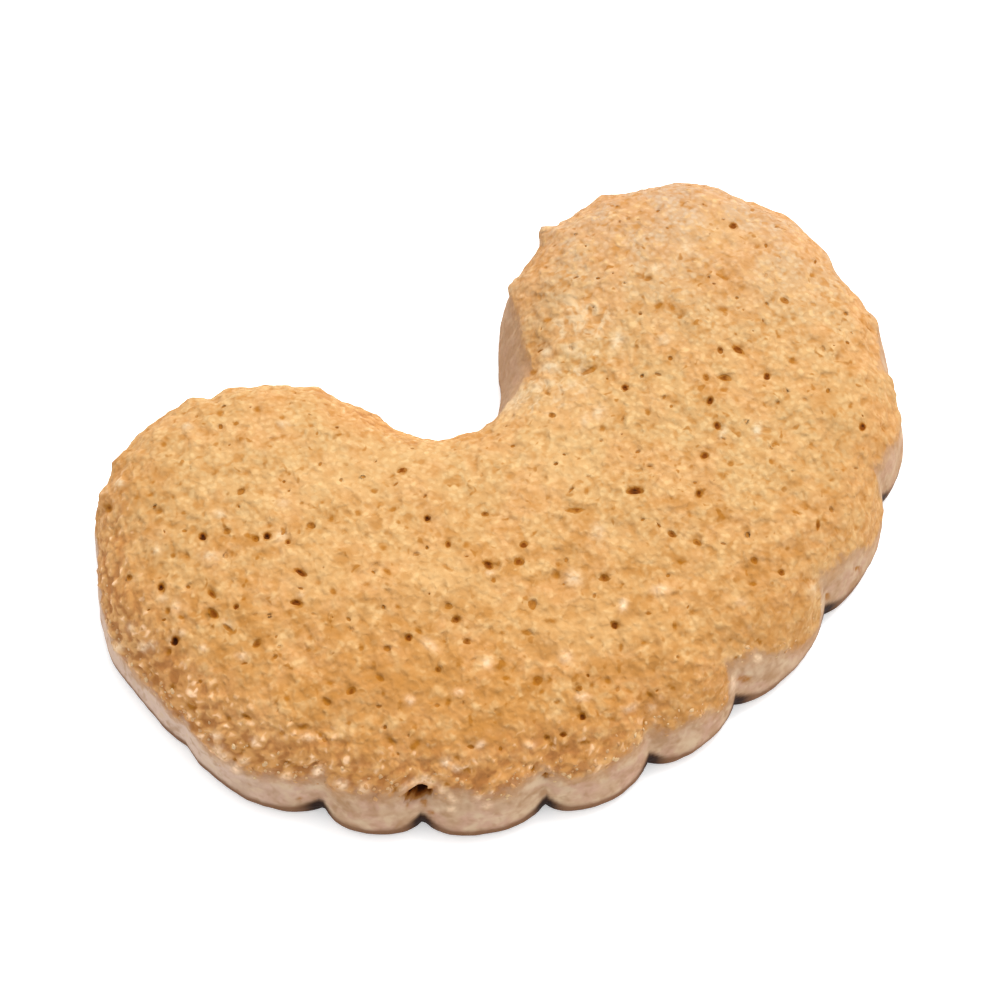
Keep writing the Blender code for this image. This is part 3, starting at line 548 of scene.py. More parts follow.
def choose_pits(loop):
    """The holes that the photograph shows and small seeded ones, clear of each other and of the rim."""
    table = np.array([spot for spot in SPOTS if spot[5] >= HOLE_DARKNESS], dtype=float)
    places = crust_places(table[:, :2], loop)
    away = np.where(inside(places, loop), edge_distance(places, loop), 0.0)
    pits = []
    for (x, y), (_, _, length, width, turn, dark), room in zip(places, table, away):
        half_long, half_wide = (size / 2 / PIXELS_PER_MM for size in (length, width))
        reach = max(half_long, half_wide)
        if room < reach + RIM_GAP or any(
            math.hypot(x - p[0], y - p[1]) < HOLES_APART * (p[7] + reach) for p in pits
        ):
            continue
        depth = HOLE_DEPTH * half_wide * dark
        pits.append((x, y, half_long, half_wide, turn - VIEW_AZIMUTH, depth, dark, reach))
    draw = random.Random(SEED)
    low, high = loop.min(axis=0), loop.max(axis=0)
    spots = [(draw.uniform(low[0], high[0]), draw.uniform(low[1], high[1])) for _ in range(PIT_TRIES)]
    spots = np.array(spots)
    spots = spots[inside(spots, loop)]
    spots = spots[edge_distance(spots, loop) > RIM_GAP]
    wanted = len(pits) + PIT_COUNT
    for x, y in spots:
        half = draw.uniform(*PIT_HALF_SIZE)
        reach = half * draw.uniform(*PIT_LENGTH)
        dark = draw.uniform(*PIT_DARKNESS)
        turn = draw.uniform(*PIT_TURN)
        if any(math.hypot(x - p[0], y - p[1]) < PITS_APART * (p[7] + reach) + PIT_GAP for p in pits):
            continue
        pits.append((x, y, reach, half, turn, half * PIT_DEPTH * dark, dark, reach))
        if len(pits) == wanted:
            break
    return pits


def pit_ring(pit, share, count):
    """A ring of points round a pit, at a share of its half size, a little uneven."""
    x, y, half_long, half_wide, turn = pit[:5]
    c, s = math.cos(math.radians(turn)), math.sin(math.radians(turn))
    ring = []
    for i in range(count):
        a = 2 * math.pi * i / count
        place = Vector((x * 3 + math.cos(a), y * 3 + math.sin(a), 0.4))
        uneven = share * (1.0 + PIT_UNEVEN * noise.noise(place))
        p, q = half_long * uneven * math.cos(a), half_wide * uneven * math.sin(a)
        ring.append((x + p * c - q * s, y + p * s + q * c))
    return ring


def top_height(points, loop):
    """The crust's height: a dome with low hills and a rougher crust over them."""
    away = edge_distance(points, loop)
    height = np.full(len(points), WALL[-1][0])
    for rise, reach in DOME:
        height += rise * (1.0 - np.exp(-away / reach))
    fade = np.clip(away / RIM_FADE, 0.0, 1.0)
    bumps = np.zeros(len(points))
    for size, length, level in HILLS:
        bumps += size * np.array([noise.noise(Vector((x / length, y / length, level))) for x, y in points])
    return height + fade * bumps


def hex_grid(loop, step):
    """Points of a triangular grid inside a loop, a little way in from it."""
    low, high = loop.min(axis=0), loop.max(axis=0)
    rows = np.arange(low[1], high[1], step * math.sqrt(0.75))
    steps = np.arange(low[0], high[0], step)
    grid = np.array([(x + (i % 2) * step / 2, y) for i, y in enumerate(rows) for x in steps])
    grid = grid[inside(grid, loop)]
    return grid[edge_distance(grid, loop) > step * GRID_GAP]


def build_top(loop):
    """Points of the top, after those of the wall's last ring, its triangles, and how dark each point is."""
    pits = choose_pits(loop)
    grid = hex_grid(loop, TOP_STEP)
    keep = np.ones(len(grid), dtype=bool)
    for pit in pits:
        clear = pit[7] * PIT_CLEAR[0] + TOP_STEP * PIT_CLEAR[1]
        keep &= np.hypot(grid[:, 0] - pit[0], grid[:, 1] - pit[1]) > clear
    flat = [tuple(p) for p in loop] + [tuple(p) for p in grid[keep]]
    edges = [(i, (i + 1) % len(loop)) for i in range(len(loop))]
    sunk = {}
    wide, more, fewer = WIDE_PIT
    for pit in pits:
        count = more if pit[3] > wide else fewer
        for share, depth in PIT_RINGS:
            first = len(flat)
            flat += pit_ring(pit, share, count)
            edges += [(first + i, first + (i + 1) % count) for i in range(count)]
            for i in range(count):
                sunk[first + i] = (depth * pit[5], depth * pit[6])
        sunk[len(flat)] = (pit[5], pit[6])
        flat.append((pit[0], pit[1]))
    out = delaunay_2d_cdt([Vector(p) for p in flat], edges, [], 1, 1e-5)
    if len(out[0]) != len(flat):
        raise ValueError("two lines of the top cross")
    flat = np.array(flat)
    height = top_height(flat, loop)
    dark = np.zeros(len(flat))
    for index, (depth, darkness) in sunk.items():
        height[index] -= depth
        dark[index] = darkness
    return np.column_stack([flat, height]), [tuple(t) for t in out[2]], dark


def vertex_normals(points, faces):
    """The surface's outward normal at each point."""
    corners = points[faces]
    across = np.cross(corners[:, 1] - corners[:, 0], corners[:, 2] - corners[:, 0])
    normals = np.zeros_like(points)
    for k in range(3):
        np.add.at(normals, faces[:, k], across)
    return normals / np.maximum(np.linalg.norm(normals, axis=1), 1e-12)[:, None]


def crust_start(u, places):
    """The height on the wall at which the golden crust begins."""
    shape, _, passed = scallop_shape(u)
    line = np.array(CRUST_FROM)
    start = np.interp(u, line[:, 0], line[:, 1]) + VALLEY_RISE * (1.0 - shape) ** 2
    first, last, falls, rises, down = RUN_DOWN
    there = smooth_step(*first, u) * (1.0 - smooth_step(*last, u))
    start -= down * there * smooth_step(*falls, passed) * (1.0 - smooth_step(*rises, passed))
    for size, length, seed in EDGE_WANDER:
        start += size * noise_at(places, length, seed)
    return start


def build_body():
    """The biscuit's points, triangles and paint, in the frame of the edge line."""
    rings, u = build_wall()
    count = len(u)
    wall = np.concatenate(rings)
    faces = []
    for level in range(len(rings) - 1):
        a, b = level * count, (level + 1) * count
        for i in range(count):
            j = (i + 1) % count
            faces.append((a + i, a + j, b + j))
            faces.append((a + i, b + j, b + i))
    wall_faces = len(faces)
    top, triangles, dark = build_top(rings[-1][:, :2])
    first, offset = (len(rings) - 1) * count, len(wall) - count
    for triangle in triangles:
        faces.append(tuple(first + i if i < count else offset + i for i in triangle))
    top_faces = len(faces)
    foot = rings[0][:, :2]
    flat = np.concatenate([foot, hex_grid(foot, BASE_STEP)])
    edges = [(i, (i + 1) % count) for i in range(count)]
    offset = len(wall) + len(top) - 2 * count
    for triangle in delaunay_2d_cdt([Vector(p) for p in flat], edges, [], 1, 1e-5)[2]:
        faces.append(tuple(i if i < count else offset + i for i in reversed(triangle)))
    under = np.column_stack([flat[count:], np.zeros(len(flat) - count)])
    points = np.concatenate([wall, top[count:], under])
    faces = np.array(faces)
    part = np.zeros(len(faces), dtype=int)
    part[wall_faces:top_faces] = 1
    part[top_faces:] = 2
    along = np.concatenate([np.tile(u, len(rings)), np.zeros(len(top) - count + len(under))])
    # The hole under the lip is painted dark, up to black: painted shade of its depth.
    hole = np.minimum(1.2, 2.4 * lip_hole_depth(np.tile(u, len(rings)), wall[:, 2]))
    pit = np.concatenate([hole, dark[count:], np.zeros(len(under))])
    on_wall = wall[:, 2] - crust_start(along[:len(wall)], wall)
    on_top = WALL[-1][0] - WALL[6][0] + edge_distance(top[count:, :2], rings[-1][:, :2])
    on_base = np.full(len(under), -WALL[-1][0])
    return points, faces, part, along, pit, np.concatenate([on_wall, on_top, on_base])


def flaky(points):
    """How far each point lies in the flaky patches by the notch, 0 to 1."""
    best = np.zeros(len(points))
    for x, y, half_x, half_y in FLAKES:
        r = np.hypot((points[:, 0] - x) / half_x, (points[:, 1] - y) / half_y)
        best = np.maximum(best, 1.0 - smooth_step(0.5, 1.0, r))
    return best


def crumb_cells(points):
    """How far each point lies from the middle of its crumb, 0 to about 1."""
    noise.seed_set(SEED)
    bend, fine = CRUMB_BEND
    far = []
    for p in points:
        place = Vector(p) / CRUMB_RELIEF[1]
        far.append(noise.voronoi(place + bend * noise.noise_vector(place * fine))[0][0])
    return np.array(far)


def crumbly(points, above):
    """How crumbly the crust is: most near its rim in front and on the left, 0 to 1."""
    over_x, over_y, up, down, least = CRUMBLY
    left = 1.0 - smooth_step(*over_x, points[:, 0])
    near = 1.0 - smooth_step(*over_y, points[:, 1])
    rim = (1.0 - smooth_step(*up, above)) * smooth_step(*down, above)
    return rim * (least + (1.0 - least) * left * near)


def add_relief(points, normals, above, pit, dent, light, cells, crumbs):
    """Moves the points in and out along the surface's normals by the relief of crust and side."""
    golden = smooth_step(*GOLDEN, above)
    crust = sum(height * noise_at(points, length, 11 + i) for i, (height, length) in enumerate(CRUST_RELIEF))
    stretched = points * np.array((1.0, 1.0, SIDE_SQUEEZE))
    side = sum(height * noise_at(stretched, length, 21 + i) for i, (height, length) in enumerate(SIDE_RELIEF))
    evenly, near_rim = CRUMB_RISE
    crust += CRUMB_RELIEF[0] * (0.5 - cells) * (evenly + near_rim * crumbs)
    out, up, half = CRUST_LIP
    lift = out * np.exp(-((above - up) / half) ** 2) + golden * crust + (1.0 - golden) * side
    rise, length, roundness = FLAKE_RISE
    lift += flaky(points) * golden * rise * np.maximum(noise_at(points, length, 31), 0.0) ** roundness
    lift *= 1.0 - PIT_EVEN * np.minimum(1.0, pit)
    lift += LIGHT_LIFT * light - DENT_DEPTH * dent * (1.0 - np.minimum(1.0, 2.0 * pit))
    hold = smooth_step(0.0, EVEN_FOOT, points[:, 2])
    moved = points + normals * (lift * hold)[:, None]
    moved[:, 2] = np.maximum(moved[:, 2], 0.0)
    return moved


def lay_out(points, faces, part, along):
    """A place on the image for each corner: the top flat, the wall unrolled in strips, the base small."""
    low = points.min(axis=0)
    total = edge_line()[2][-1]
    uv = np.zeros((len(faces), 3, 2))
    corners = points[faces]
    on_top = part == 1
    uv[on_top] = MAP_TOP + (corners[on_top][:, :, :2] - low[:2]) * MAP_MM
    on_wall = part == 0
    turn = (along[faces[on_wall]] + total / 2) / total * MAP_STRIPS
    half = MAP_STRIPS / 2
    wraps = np.ptp(turn, axis=1) > half
    turn[wraps] = np.where(turn[wraps] < half, turn[wraps] + MAP_STRIPS, turn[wraps])
    which = np.clip(np.floor(turn.mean(axis=1)), 0, MAP_STRIPS - 1)[:, None]
    up = corners[on_wall][:, :, 2] * MAP_STRIP_TALL / WALL[-1][0]
    uv[on_wall, :, 0] = MAP_WALL[0] + (turn - which) * total / MAP_STRIPS * MAP_MM
    uv[on_wall, :, 1] = MAP_WALL[1] + which * (MAP_STRIP_TALL + MAP_GAP) + up
    under = part == 2
    uv[under, :, 0] = MAP_BASE[0] + (corners[under][:, :, 1] - low[1]) * MAP_BASE_MM
    uv[under, :, 1] = MAP_BASE[1] + (corners[under][:, :, 0] - low[0]) * MAP_BASE_MM
    return uv


def add_number(mesh, name, values):
    """Gives a mesh one number per point, for the materials to read."""
    numbers = mesh.attributes.new(name, "FLOAT", "POINT").data
    numbers.foreach_set("value", np.asarray(values, dtype=np.float32))


def make_object(name, points, faces, material):
    """A smooth mesh object from points in millimetres."""
    mesh = bpy.data.meshes.new(name)
    mesh.from_pydata((points * MM).tolist(), [], faces.tolist())
    mesh.shade_smooth()
    mesh.materials.append(material)
    made = bpy.data.objects.new(name, mesh)
    bpy.context.collection.objects.link(made)
    return made


class Nodes:
    """Short ways to add nodes to a material."""

    def __init__(self, name):
        self.material = bpy.data.materials.new(name)
        self.material.use_nodes = True
        self.tree = self.material.node_tree
        self.shader = self.tree.nodes["Principled BSDF"]

    def add(self, kind, inputs=None, **settings):
        node = self.tree.nodes.new(kind)
        for key, value in settings.items():
            setattr(node, key, value)
        for key, value in (inputs or {}).items():
            self.put(node.inputs[key], value)
        return node

    def put(self, socket, value):
        if isinstance(value, bpy.types.NodeSocket):
            self.tree.links.new(value, socket)
        else:
            socket.default_value = value

    def number(self, name):
        return self.add("ShaderNodeAttribute", attribute_name=name).outputs["Fac"]

    def places(self):
        """Object coordinates in millimetres."""
        spot = self.add("ShaderNodeTexCoord").outputs["Object"]
        return self.add("ShaderNodeVectorMath", {0: spot, 3: 1 / MM}, operation="SCALE").outputs[0]

    def noise(self, where, length, detail=2.0, seed=0.0, distortion=0.0):
        settings = {"Vector": where, "Scale": 1.0 / length, "Detail": detail, "W": seed}
        settings["Distortion"] = distortion
        return self.add("ShaderNodeTexNoise", settings, noise_dimensions="4D").outputs["Fac"]

    def grains(self, where, width):
        """How far each place lies from the middle of its grain, 0 to about 0.7."""
        settings = {"Vector": where, "Scale": 1.0 / width, "Smoothness": 0.6}
        return self.add("ShaderNodeTexVoronoi", settings, feature="SMOOTH_F1").outputs["Distance"]

    def math(self, operation, a, b=0.0, c=0.0, clamp=False):
        return self.add("ShaderNodeMath", {0: a, 1: b, 2: c}, operation=operation, use_clamp=clamp).outputs[0]

    def ramp(self, value, low, high, to_low=0.0, to_high=1.0):
        settings = {"Value": value, "From Min": low, "From Max": high, "To Min": to_low, "To Max": to_high}
        return self.add("ShaderNodeMapRange", settings, interpolation_type="SMOOTHSTEP").outputs[0]

    def mix(self, share, a, b):
        node = self.add("ShaderNodeMix", data_type="RGBA")
        self.put(node.inputs[0], share)
        self.put(node.inputs[6], a)
        self.put(node.inputs[7], b)
        return node.outputs[2]


def colour(red, green, blue):
    """The surface's own colour where the photograph shows this one, 0 to 255, in its bright light."""
    out = []
    for value in (red, green, blue):
        v = value / 255
        out.append((v / 12.92 if v <= 0.04045 else ((v + 0.055) / 1.055) ** 2.4) / LIGHT_LEVEL)
    return (*out, 1.0)


# The crust from its far side to its near one, partly painted light and shade, its blotches, its pits and
# crumbs with their painted highlights and shade, and the side below it.
# From the far side to the near one the crust is partly baked colour and partly painted light: the far side's
# paleness is partly a painted sheen, the near side's brownness partly painted shade.
CRUST_FAR_PALE_AND_SHEEN = colour(216, 189, 164)
CRUST_MIDDLE = colour(233, 192, 134)
CRUST_NEAR_BROWN_AND_SHADE = colour(226, 163, 91)
CRUST_LIGHT = colour(252, 208, 146)
CRUST_DARK = colour(206, 143, 71)
CRUST_ROSY = colour(238, 176, 115)
SIDE_MIDDLE = colour(226, 188, 152)
SIDE_ROSY = colour(226, 182, 154)
SIDE_LIGHT = colour(242, 210, 174)
SIDE_DARK = colour(196, 152, 112)
# The notch's wall painted darker: painted shade.
NOTCH_SHADE_SIDE = colour(196, 153, 114)
LEFT_SIDE = colour(250, 222, 204)
# The foot's brown is partly real browning and partly painted shade along the base, and the folds' near black
# is painted shade.
TOAST_AND_SHADE = colour(146, 102, 70)
FOLD_SHADE = colour(52, 32, 24)
# The pits' ochre is their own colour, while their brown and black are partly painted shade in their depths.
PIT_OCHRE = colour(186, 116, 20)
PIT_BROWN = colour(140, 70, 4)
PIT_SHADE_BLACK = colour(64, 26, 4)
# Painted highlight on the crumbs' tops, painted shade in the crevices between them, and the rim painted
# lighter against its slope's shade.
CRUMB_HIGHLIGHT = (0.88, 0.58, 0.35, 1.0)
CREVICE_SHADE = colour(186, 116, 58)
RIM_PAINTED_LIGHT = colour(252, 182, 110)
BETWEEN = colour(198, 154, 118)
FLAKE_LIGHT = colour(246, 214, 168)
# The light spots' colours: pale crumbs, partly painted highlights, and painted still brighter on the near
# side where less light falls.
SPOT_LIGHT = colour(255, 228, 186)
SPOT_NEAR_PAINTED_LIGHT = (0.9, 0.64, 0.42, 1.0)
GRAIN_DARK = colour(224, 164, 100)
GRAIN_LIGHT = colour(244, 206, 152)


def crust_colour(n, where, front, crumb, grain):
    """The golden crust, paler far off and browner toward the camera's side, partly painted light and shade,
    with blotches, light crumbs with painted highlights, painted shade in their lows, and ochre hollows.
    """
    # Paler far side, browner near side: partly baked colour, partly painted light and shade.
    base = n.mix(n.ramp(front, 0.0, 0.45), CRUST_FAR_PALE_AND_SHEEN, CRUST_MIDDLE)
    base = n.mix(n.ramp(front, 0.5, 0.95), base, CRUST_NEAR_BROWN_AND_SHADE)
    broad = n.ramp(n.noise(where, *BLUSH), 0.42, 0.62, 0.0, 0.55)
    base = n.mix(broad, base, CRUST_ROSY)
    blotch = n.noise(where, *BLOTCH)
    strong = n.ramp(front, 0.45, 0.85, 0.8, 2.0)
    base = n.mix(n.math("MULTIPLY", strong, n.ramp(blotch, 0.53, 0.72, 0.0, 0.42)), base, CRUST_LIGHT)
    base = n.mix(n.math("MULTIPLY", strong, n.ramp(blotch, 0.32, 0.5, 0.5, 0.0)), base, CRUST_DARK)
    # The crumb noise also raises the bumps: lighter on its rises and darker in its lows is painted highlight
    # and painted shade.
    base = n.mix(n.ramp(crumb, 0.52, 0.72, 0.0, 0.6), base, CRUST_LIGHT)
    base = n.mix(n.ramp(crumb, 0.26, 0.5, 0.8, 0.0), base, CRUST_DARK)
    base = n.mix(n.ramp(grain, 0.05, 0.3, 0.18, 0.0), base, CRUST_LIGHT)
    base = n.mix(n.ramp(grain, 0.3, 0.55, 0.0, 0.34), base, CRUST_DARK)
    spots = n.noise(where, *HOLLOW)
    return n.mix(n.ramp(spots, 0.62, 0.74, 0.0, 0.75), base, PIT_OCHRE)


def side_colour(n, where, front, toast_and_shade, fold_shade, notch, left):
    """The pale side below the crust, mottled, with the notch's wall in painted shade and a browned foot with
    painted shade that is darkest in the folds.
    """
    mottle = n.noise(where, *SIDE_MOTTLE)
    base = n.mix(n.ramp(n.noise(where, *SIDE_BLUSH), 0.42, 0.6), SIDE_MIDDLE, SIDE_ROSY)
    base = n.mix(n.ramp(mottle, 0.5, 0.68, 0.0, 0.85), base, SIDE_LIGHT)
    base = n.mix(n.ramp(mottle, 0.34, 0.52, 0.85, 0.0), base, SIDE_DARK)
    base = n.mix(n.math("MULTIPLY", left, LEFT_SHARE), base, LEFT_SIDE)
    specks = n.noise(where, *SIDE_SPECK)
    base = n.mix(n.ramp(specks, 0.5, 0.74, 0.0, 0.6), base, SIDE_DARK)
    base = n.mix(n.ramp(specks, 0.26, 0.5, 0.6, 0.0), base, SIDE_LIGHT)
    base = n.mix(n.ramp(front, 0.5, 0.95, 0.4, 0.0), base, SIDE_DARK)
    stretch = (1.0, 1.0, PLEAT_TALL)
    upright = n.add("ShaderNodeVectorMath", {0: where, 1: stretch}, operation="MULTIPLY").outputs[0]
    pleats = n.ramp(n.noise(upright, *PLEAT), 0.38, 0.6, 1.0, 0.3)
    # The notch's wall in painted shade, in upright streaks.
    base = n.mix(n.math("MULTIPLY", notch, pleats), base, NOTCH_SHADE_SIDE)
    # The browned foot, partly real browning and partly painted shade.
    base = n.mix(n.math("MULTIPLY", toast_and_shade, TOAST_AND_SHADE_SHARE), base, TOAST_AND_SHADE)
    # The folds of the valleys' foot in painted shade, nearly black.
    return n.mix(fold_shade, base, FOLD_SHADE)


# The patterns of the looks: length in millimetres, fineness, which one of its kind, and how far it is bent.
BLUSH = (4.5, 2.0, 1.0)
BLOTCH = (2.0, 1.5, 12.0, 0.3)
HOLLOW = (1.1, 1.5, 3.0, 0.5)
CRUMB = (0.85, 1.3, 2.0, 0.2)
UNEVEN = (0.7, 2.0, 7.0)
COARSE = (1.5, 1.0, 10.0)
HIGHLIGHT_PATTERN = (1.5, 1.0, 14.0)
FLAKE_PATCH = (1.2, 2.0, 8.0, 0.6)
FLECK = (0.55, 1.0, 16.0)
SIDE_MOTTLE = (2.2, 2.5, 5.0, 0.4)
SIDE_BLUSH = (3.0, 1.0, 15.0)
SIDE_SPECK = (0.9, 1.5, 13.0, 0.2)
PLEAT = (1.5, 1.5, 18.0)
PLEAT_TALL = 0.2  # the pleats are stretched upright by this
GRAIN_WIDE = 0.62
# How much of each paint shows: the left side's, the browned foot's with its painted shade, the broad
# patches', the rim's painted light.
LEFT_SHARE, TOAST_AND_SHADE_SHARE, PATCH_SHARE, RIM_LIGHT_SHARE = 0.8, 0.94, 0.9, 0.5
BISCUIT_GLOSS = (0.82, 0.08)  # how rough the biscuit is and how much it shines
GRAIN_ROUGH = 0.7
BUMP_DEPTH = 0.4 * MM
BUMP_SHARES = (0.45, 0.55)  # of the fine bumps, how much shows on the side, and how much more on the crust
CRUST_PAINT = ("above", "pit", "stain", "light", "front", "flake", "browner", "paler")
EDGE_PAINT = ("toast_and_shade", "fold_shade", "notch", "left", "cell", "crumbs")


def biscuit_material():
    """The baked biscuit, painted by how far above the crust's start a place lies, with spots and flakes, and
    with painted light and shade on the crust, crumbs, holes, notch and foot.
    """
    n = Nodes("baked_crust")
    where = n.places()
    above, pit, stain, light, front, flake, browner, paler = (n.number(name) for name in CRUST_PAINT)
    toast_and_shade, fold_shade, notch, left, cell, crumbs = (n.number(name) for name in EDGE_PAINT)
    uneven = n.noise(where, *UNEVEN)
    golden = n.ramp(n.math("ADD", above, n.math("MULTIPLY", uneven, 2.0)), -0.4, 2.2)
    crumb = n.noise(where, *CRUMB)
    grain = n.grains(where, GRAIN_WIDE)
    crust = crust_colour(n, where, front, crumb, grain)
    crust = n.mix(n.math("MULTIPLY", browner, PATCH_SHARE), crust, CRUST_DARK)
    crust = n.mix(n.math("MULTIPLY", paler, PATCH_SHARE), crust, CRUST_LIGHT)
    # The crumbly rim painted lighter: painted light against the shade of its slope.
    crust = n.mix(n.math("MULTIPLY", crumbs, RIM_LIGHT_SHARE), crust, RIM_PAINTED_LIGHT)
    # Painted highlights on the middles of the rim's crumbs.
    bright = n.ramp(n.noise(where, *HIGHLIGHT_PATTERN), 0.4, 0.54)
    bright = n.math("MULTIPLY", n.ramp(cell, 0.15, 0.42, 1.0, 0.0), bright)
    crust = n.mix(n.math("MULTIPLY", bright, crumbs), crust, CRUMB_HIGHLIGHT)
    # Painted shade in the crevices between the crumbs.
    crust = n.mix(n.math("MULTIPLY", n.ramp(cell, 0.42, 0.72, 0.0, 0.7), crumbs), crust, CREVICE_SHADE)
    base = n.mix(golden, side_colour(n, where, front, toast_and_shade, fold_shade, notch, left), crust)
    between = n.math("MULTIPLY", n.ramp(golden, 0.0, 0.5), n.ramp(golden, 0.5, 1.0, 0.5, 0.0))
    base = n.mix(between, base, BETWEEN)
    patches = n.ramp(n.noise(where, *FLAKE_PATCH), 0.46, 0.66, 0.0, 0.75)
    base = n.mix(n.math("MULTIPLY", patches, flake), base, FLAKE_LIGHT)
    flecks = n.ramp(n.noise(where, *FLECK), 0.36, 0.56, 0.6, 1.2)
    # The light spots, painted brighter toward the camera's side where less light falls: painted light.
    pale = n.mix(n.ramp(front, 0.6, 0.95), SPOT_LIGHT, SPOT_NEAR_PAINTED_LIGHT)
    base = n.mix(n.math("MULTIPLY", light, flecks, clamp=True), base, pale)
    dark = n.math("MAXIMUM", pit, stain)
    ragged = n.math("MULTIPLY", n.math("SUBTRACT", uneven, 0.5), n.ramp(dark, 0.02, 0.3, 0.0, 0.5))
    dark = n.math("ADD", dark, ragged)
    # Pits: ochre is their own colour, and brown and black are partly painted shade of their depths.
    base = n.mix(n.ramp(dark, 0.06, 0.42, 0.0, 0.85), base, PIT_OCHRE)
    base = n.mix(n.ramp(dark, 0.42, 0.68, 0.0, 0.95), base, PIT_BROWN)
    base = n.mix(n.ramp(dark, 0.66, 0.92), base, PIT_SHADE_BLACK)
    n.put(n.shader.inputs["Base Color"], base)
    n.shader.inputs["Roughness"].default_value = BISCUIT_GLOSS[0]
    n.shader.inputs["Specular IOR Level"].default_value = BISCUIT_GLOSS[1]
    height = n.math("ADD", crumb, n.math("MULTIPLY", n.noise(where, *COARSE), 0.8))
    on_side, more_on_crust = BUMP_SHARES
    soft = n.math("MULTIPLY_ADD", golden, more_on_crust, on_side)
    bump = n.add("ShaderNodeBump", {"Strength": soft, "Distance": BUMP_DEPTH, "Height": height})
    n.put(n.shader.inputs["Normal"], bump.outputs[0])
    return n.material


def grain_material():
    """Dry crumbs, paler than the crust, each with a tint of its own."""
    n = Nodes("dry_crumbs")
    n.put(n.shader.inputs["Base Color"], n.mix(n.number("tint"), GRAIN_DARK, GRAIN_LIGHT))
    n.shader.inputs["Roughness"].default_value = GRAIN_ROUGH
    return n.material


def front_share(points):
    """0 at the horns' far side up to 1 at the side nearest to the camera."""
    toward = view_axes()[2][:2]
    return np.clip(0.5 + 0.5 * points[:, :2] @ (toward / np.linalg.norm(toward)) / OUTER_RADIUS, 0.0, 1.0)


def build_biscuit():
    """The biscuit's visual body. Returns it with its points and faces, for the crumbs to lie on."""
    points, faces, part, along, pit, above = build_body()
    normals = vertex_normals(points, faces)
    stains = [spot for spot in SPOTS if spot[5] < HOLE_DARKNESS]
    holes = [spot for spot in SPOTS if spot[5] >= HOLE_DARKNESS]
    dent = spot_field(points, normals, stains, DENT_SOFT)
    dent = np.maximum(dent, spot_field(points, normals, holes, HOLE_SOFT))
    light = spot_field(points, normals, LIGHTS, LIGHT_SOFT)
    cells = crumb_cells(points)
    crumbs = crumbly(points, above)
    moved = add_relief(points, normals, above, pit, dent, light, cells, crumbs)
    # The browned foot, partly real browning and partly painted shade, and the valleys' folds in painted
    # shade.
    brown, ends, taller, darker = BROWN_AND_SHADED_FOOT
    foot = points[:, 2] - taller * on_front(along) * (1.0 - scallop_shape(along)[0]) ** 2
    toast_and_shade = 1.0 - smooth_step(brown, ends, foot)
    fold_shade = toast_and_shade * smooth_step(*darker, points[:, 2] - foot)
    # The spread foot painted dark: painted shade under the side above it.
    dark, fades, share = FOOT_SHADE
    on_wall = np.abs(along) > 0.0
    low = 1.0 - smooth_step(dark, fades, points[:, 2])
    fold_shade = np.maximum(fold_shade, share * foot_spread(along) * low * on_wall)
    starts, stops = LEFT_PART
    moved -= ORIGIN
    body = make_object("biscuit_body", moved, faces, biscuit_material())
    paint = {
        "above": np.clip(above, -4.0, 4.0),
        "pit": HOLE_SHADE * pit,
        "cell": cells,
        "crumbs": crumbs,
        "stain": dent,
        "light": light,
        "front": front_share(points),
        "browner": spot_field(points, normals, BROWNER, PATCH_SOFT),
        "paler": spot_field(points, normals, PALER, PATCH_SOFT),
        "flake": flaky(points) * smooth_step(*GOLDEN, above),
        "toast_and_shade": toast_and_shade,
        "fold_shade": fold_shade,
        # Where the notch's wall is painted in shade.
        "notch": smooth_step(*NOTCH_SHADE_PART, along),
        "left": smooth_step(*starts, along) * (1.0 - smooth_step(*stops, along)),
    }
    for name, values in paint.items():
        add_number(body.data, name, values)
    layer = body.data.uv_layers.new(name="OFBake")
    layer.uv.foreach_set("vector", lay_out(moved, faces, part, along).astype(np.float32).ravel())
    return body, moved, faces, part, above, along


def grain_chance(above, along, part):
    """How likely a crumb is on each face: most along the crust's lower edge in front and on the left."""
    up, half, starts, ends, least = GRAIN_PLACES
    near_edge = np.exp(-((above - up) / half) ** 2)
    front = smooth_step(*starts, along) * (1.0 - smooth_step(*ends, along))
    return np.where(part == 0, near_edge * (least + front), 0.0)


def build_grains(points, faces, part, above, along):
    """All the loose crumbs in one mesh, each an uneven little lump half sunk in the crust."""
    draw = np.random.default_rng(SEED)
    corners = points[faces]
    across = np.cross(corners[:, 1] - corners[:, 0], corners[:, 2] - corners[:, 0])
    area = np.linalg.norm(across, axis=1) / 2
    chance = area * grain_chance(above[faces].mean(axis=1), along[faces].mean(axis=1), part)
    picked = draw.choice(len(faces), GRAIN_COUNT, p=chance / chance.sum())
    ball, ball_faces = lump()
    made_points, made_faces, tints = [], [], []
    small, large = GRAIN_HALF_SIZE
    for i, face in enumerate(picked):
        share = draw.dirichlet((1.0, 1.0, 1.0))
        spot = share @ corners[face]
        normal = across[face] / (2 * area[face])
        half = small + (large - small) * draw.uniform() ** 2
        shape = ball * (1.0 + draw.uniform(*GRAIN_UNEVEN, (len(ball), 1))) * draw.uniform(*GRAIN_STRETCH, 3)
        shape -= np.outer(shape @ normal, normal) * GRAIN_FLAT
        made_points.append(spot + (shape - GRAIN_SUNK * normal) * half)
        made_faces.append(ball_faces + i * len(ball))
        tints.append(np.full(len(ball), draw.uniform() ** 1.6))
    made_points, made_faces = np.concatenate(made_points), np.concatenate(made_faces)
    grains = make_object("crumb_grains", made_points, made_faces, grain_material())
    add_number(grains.data, "tint", np.concatenate(tints))
    return grains


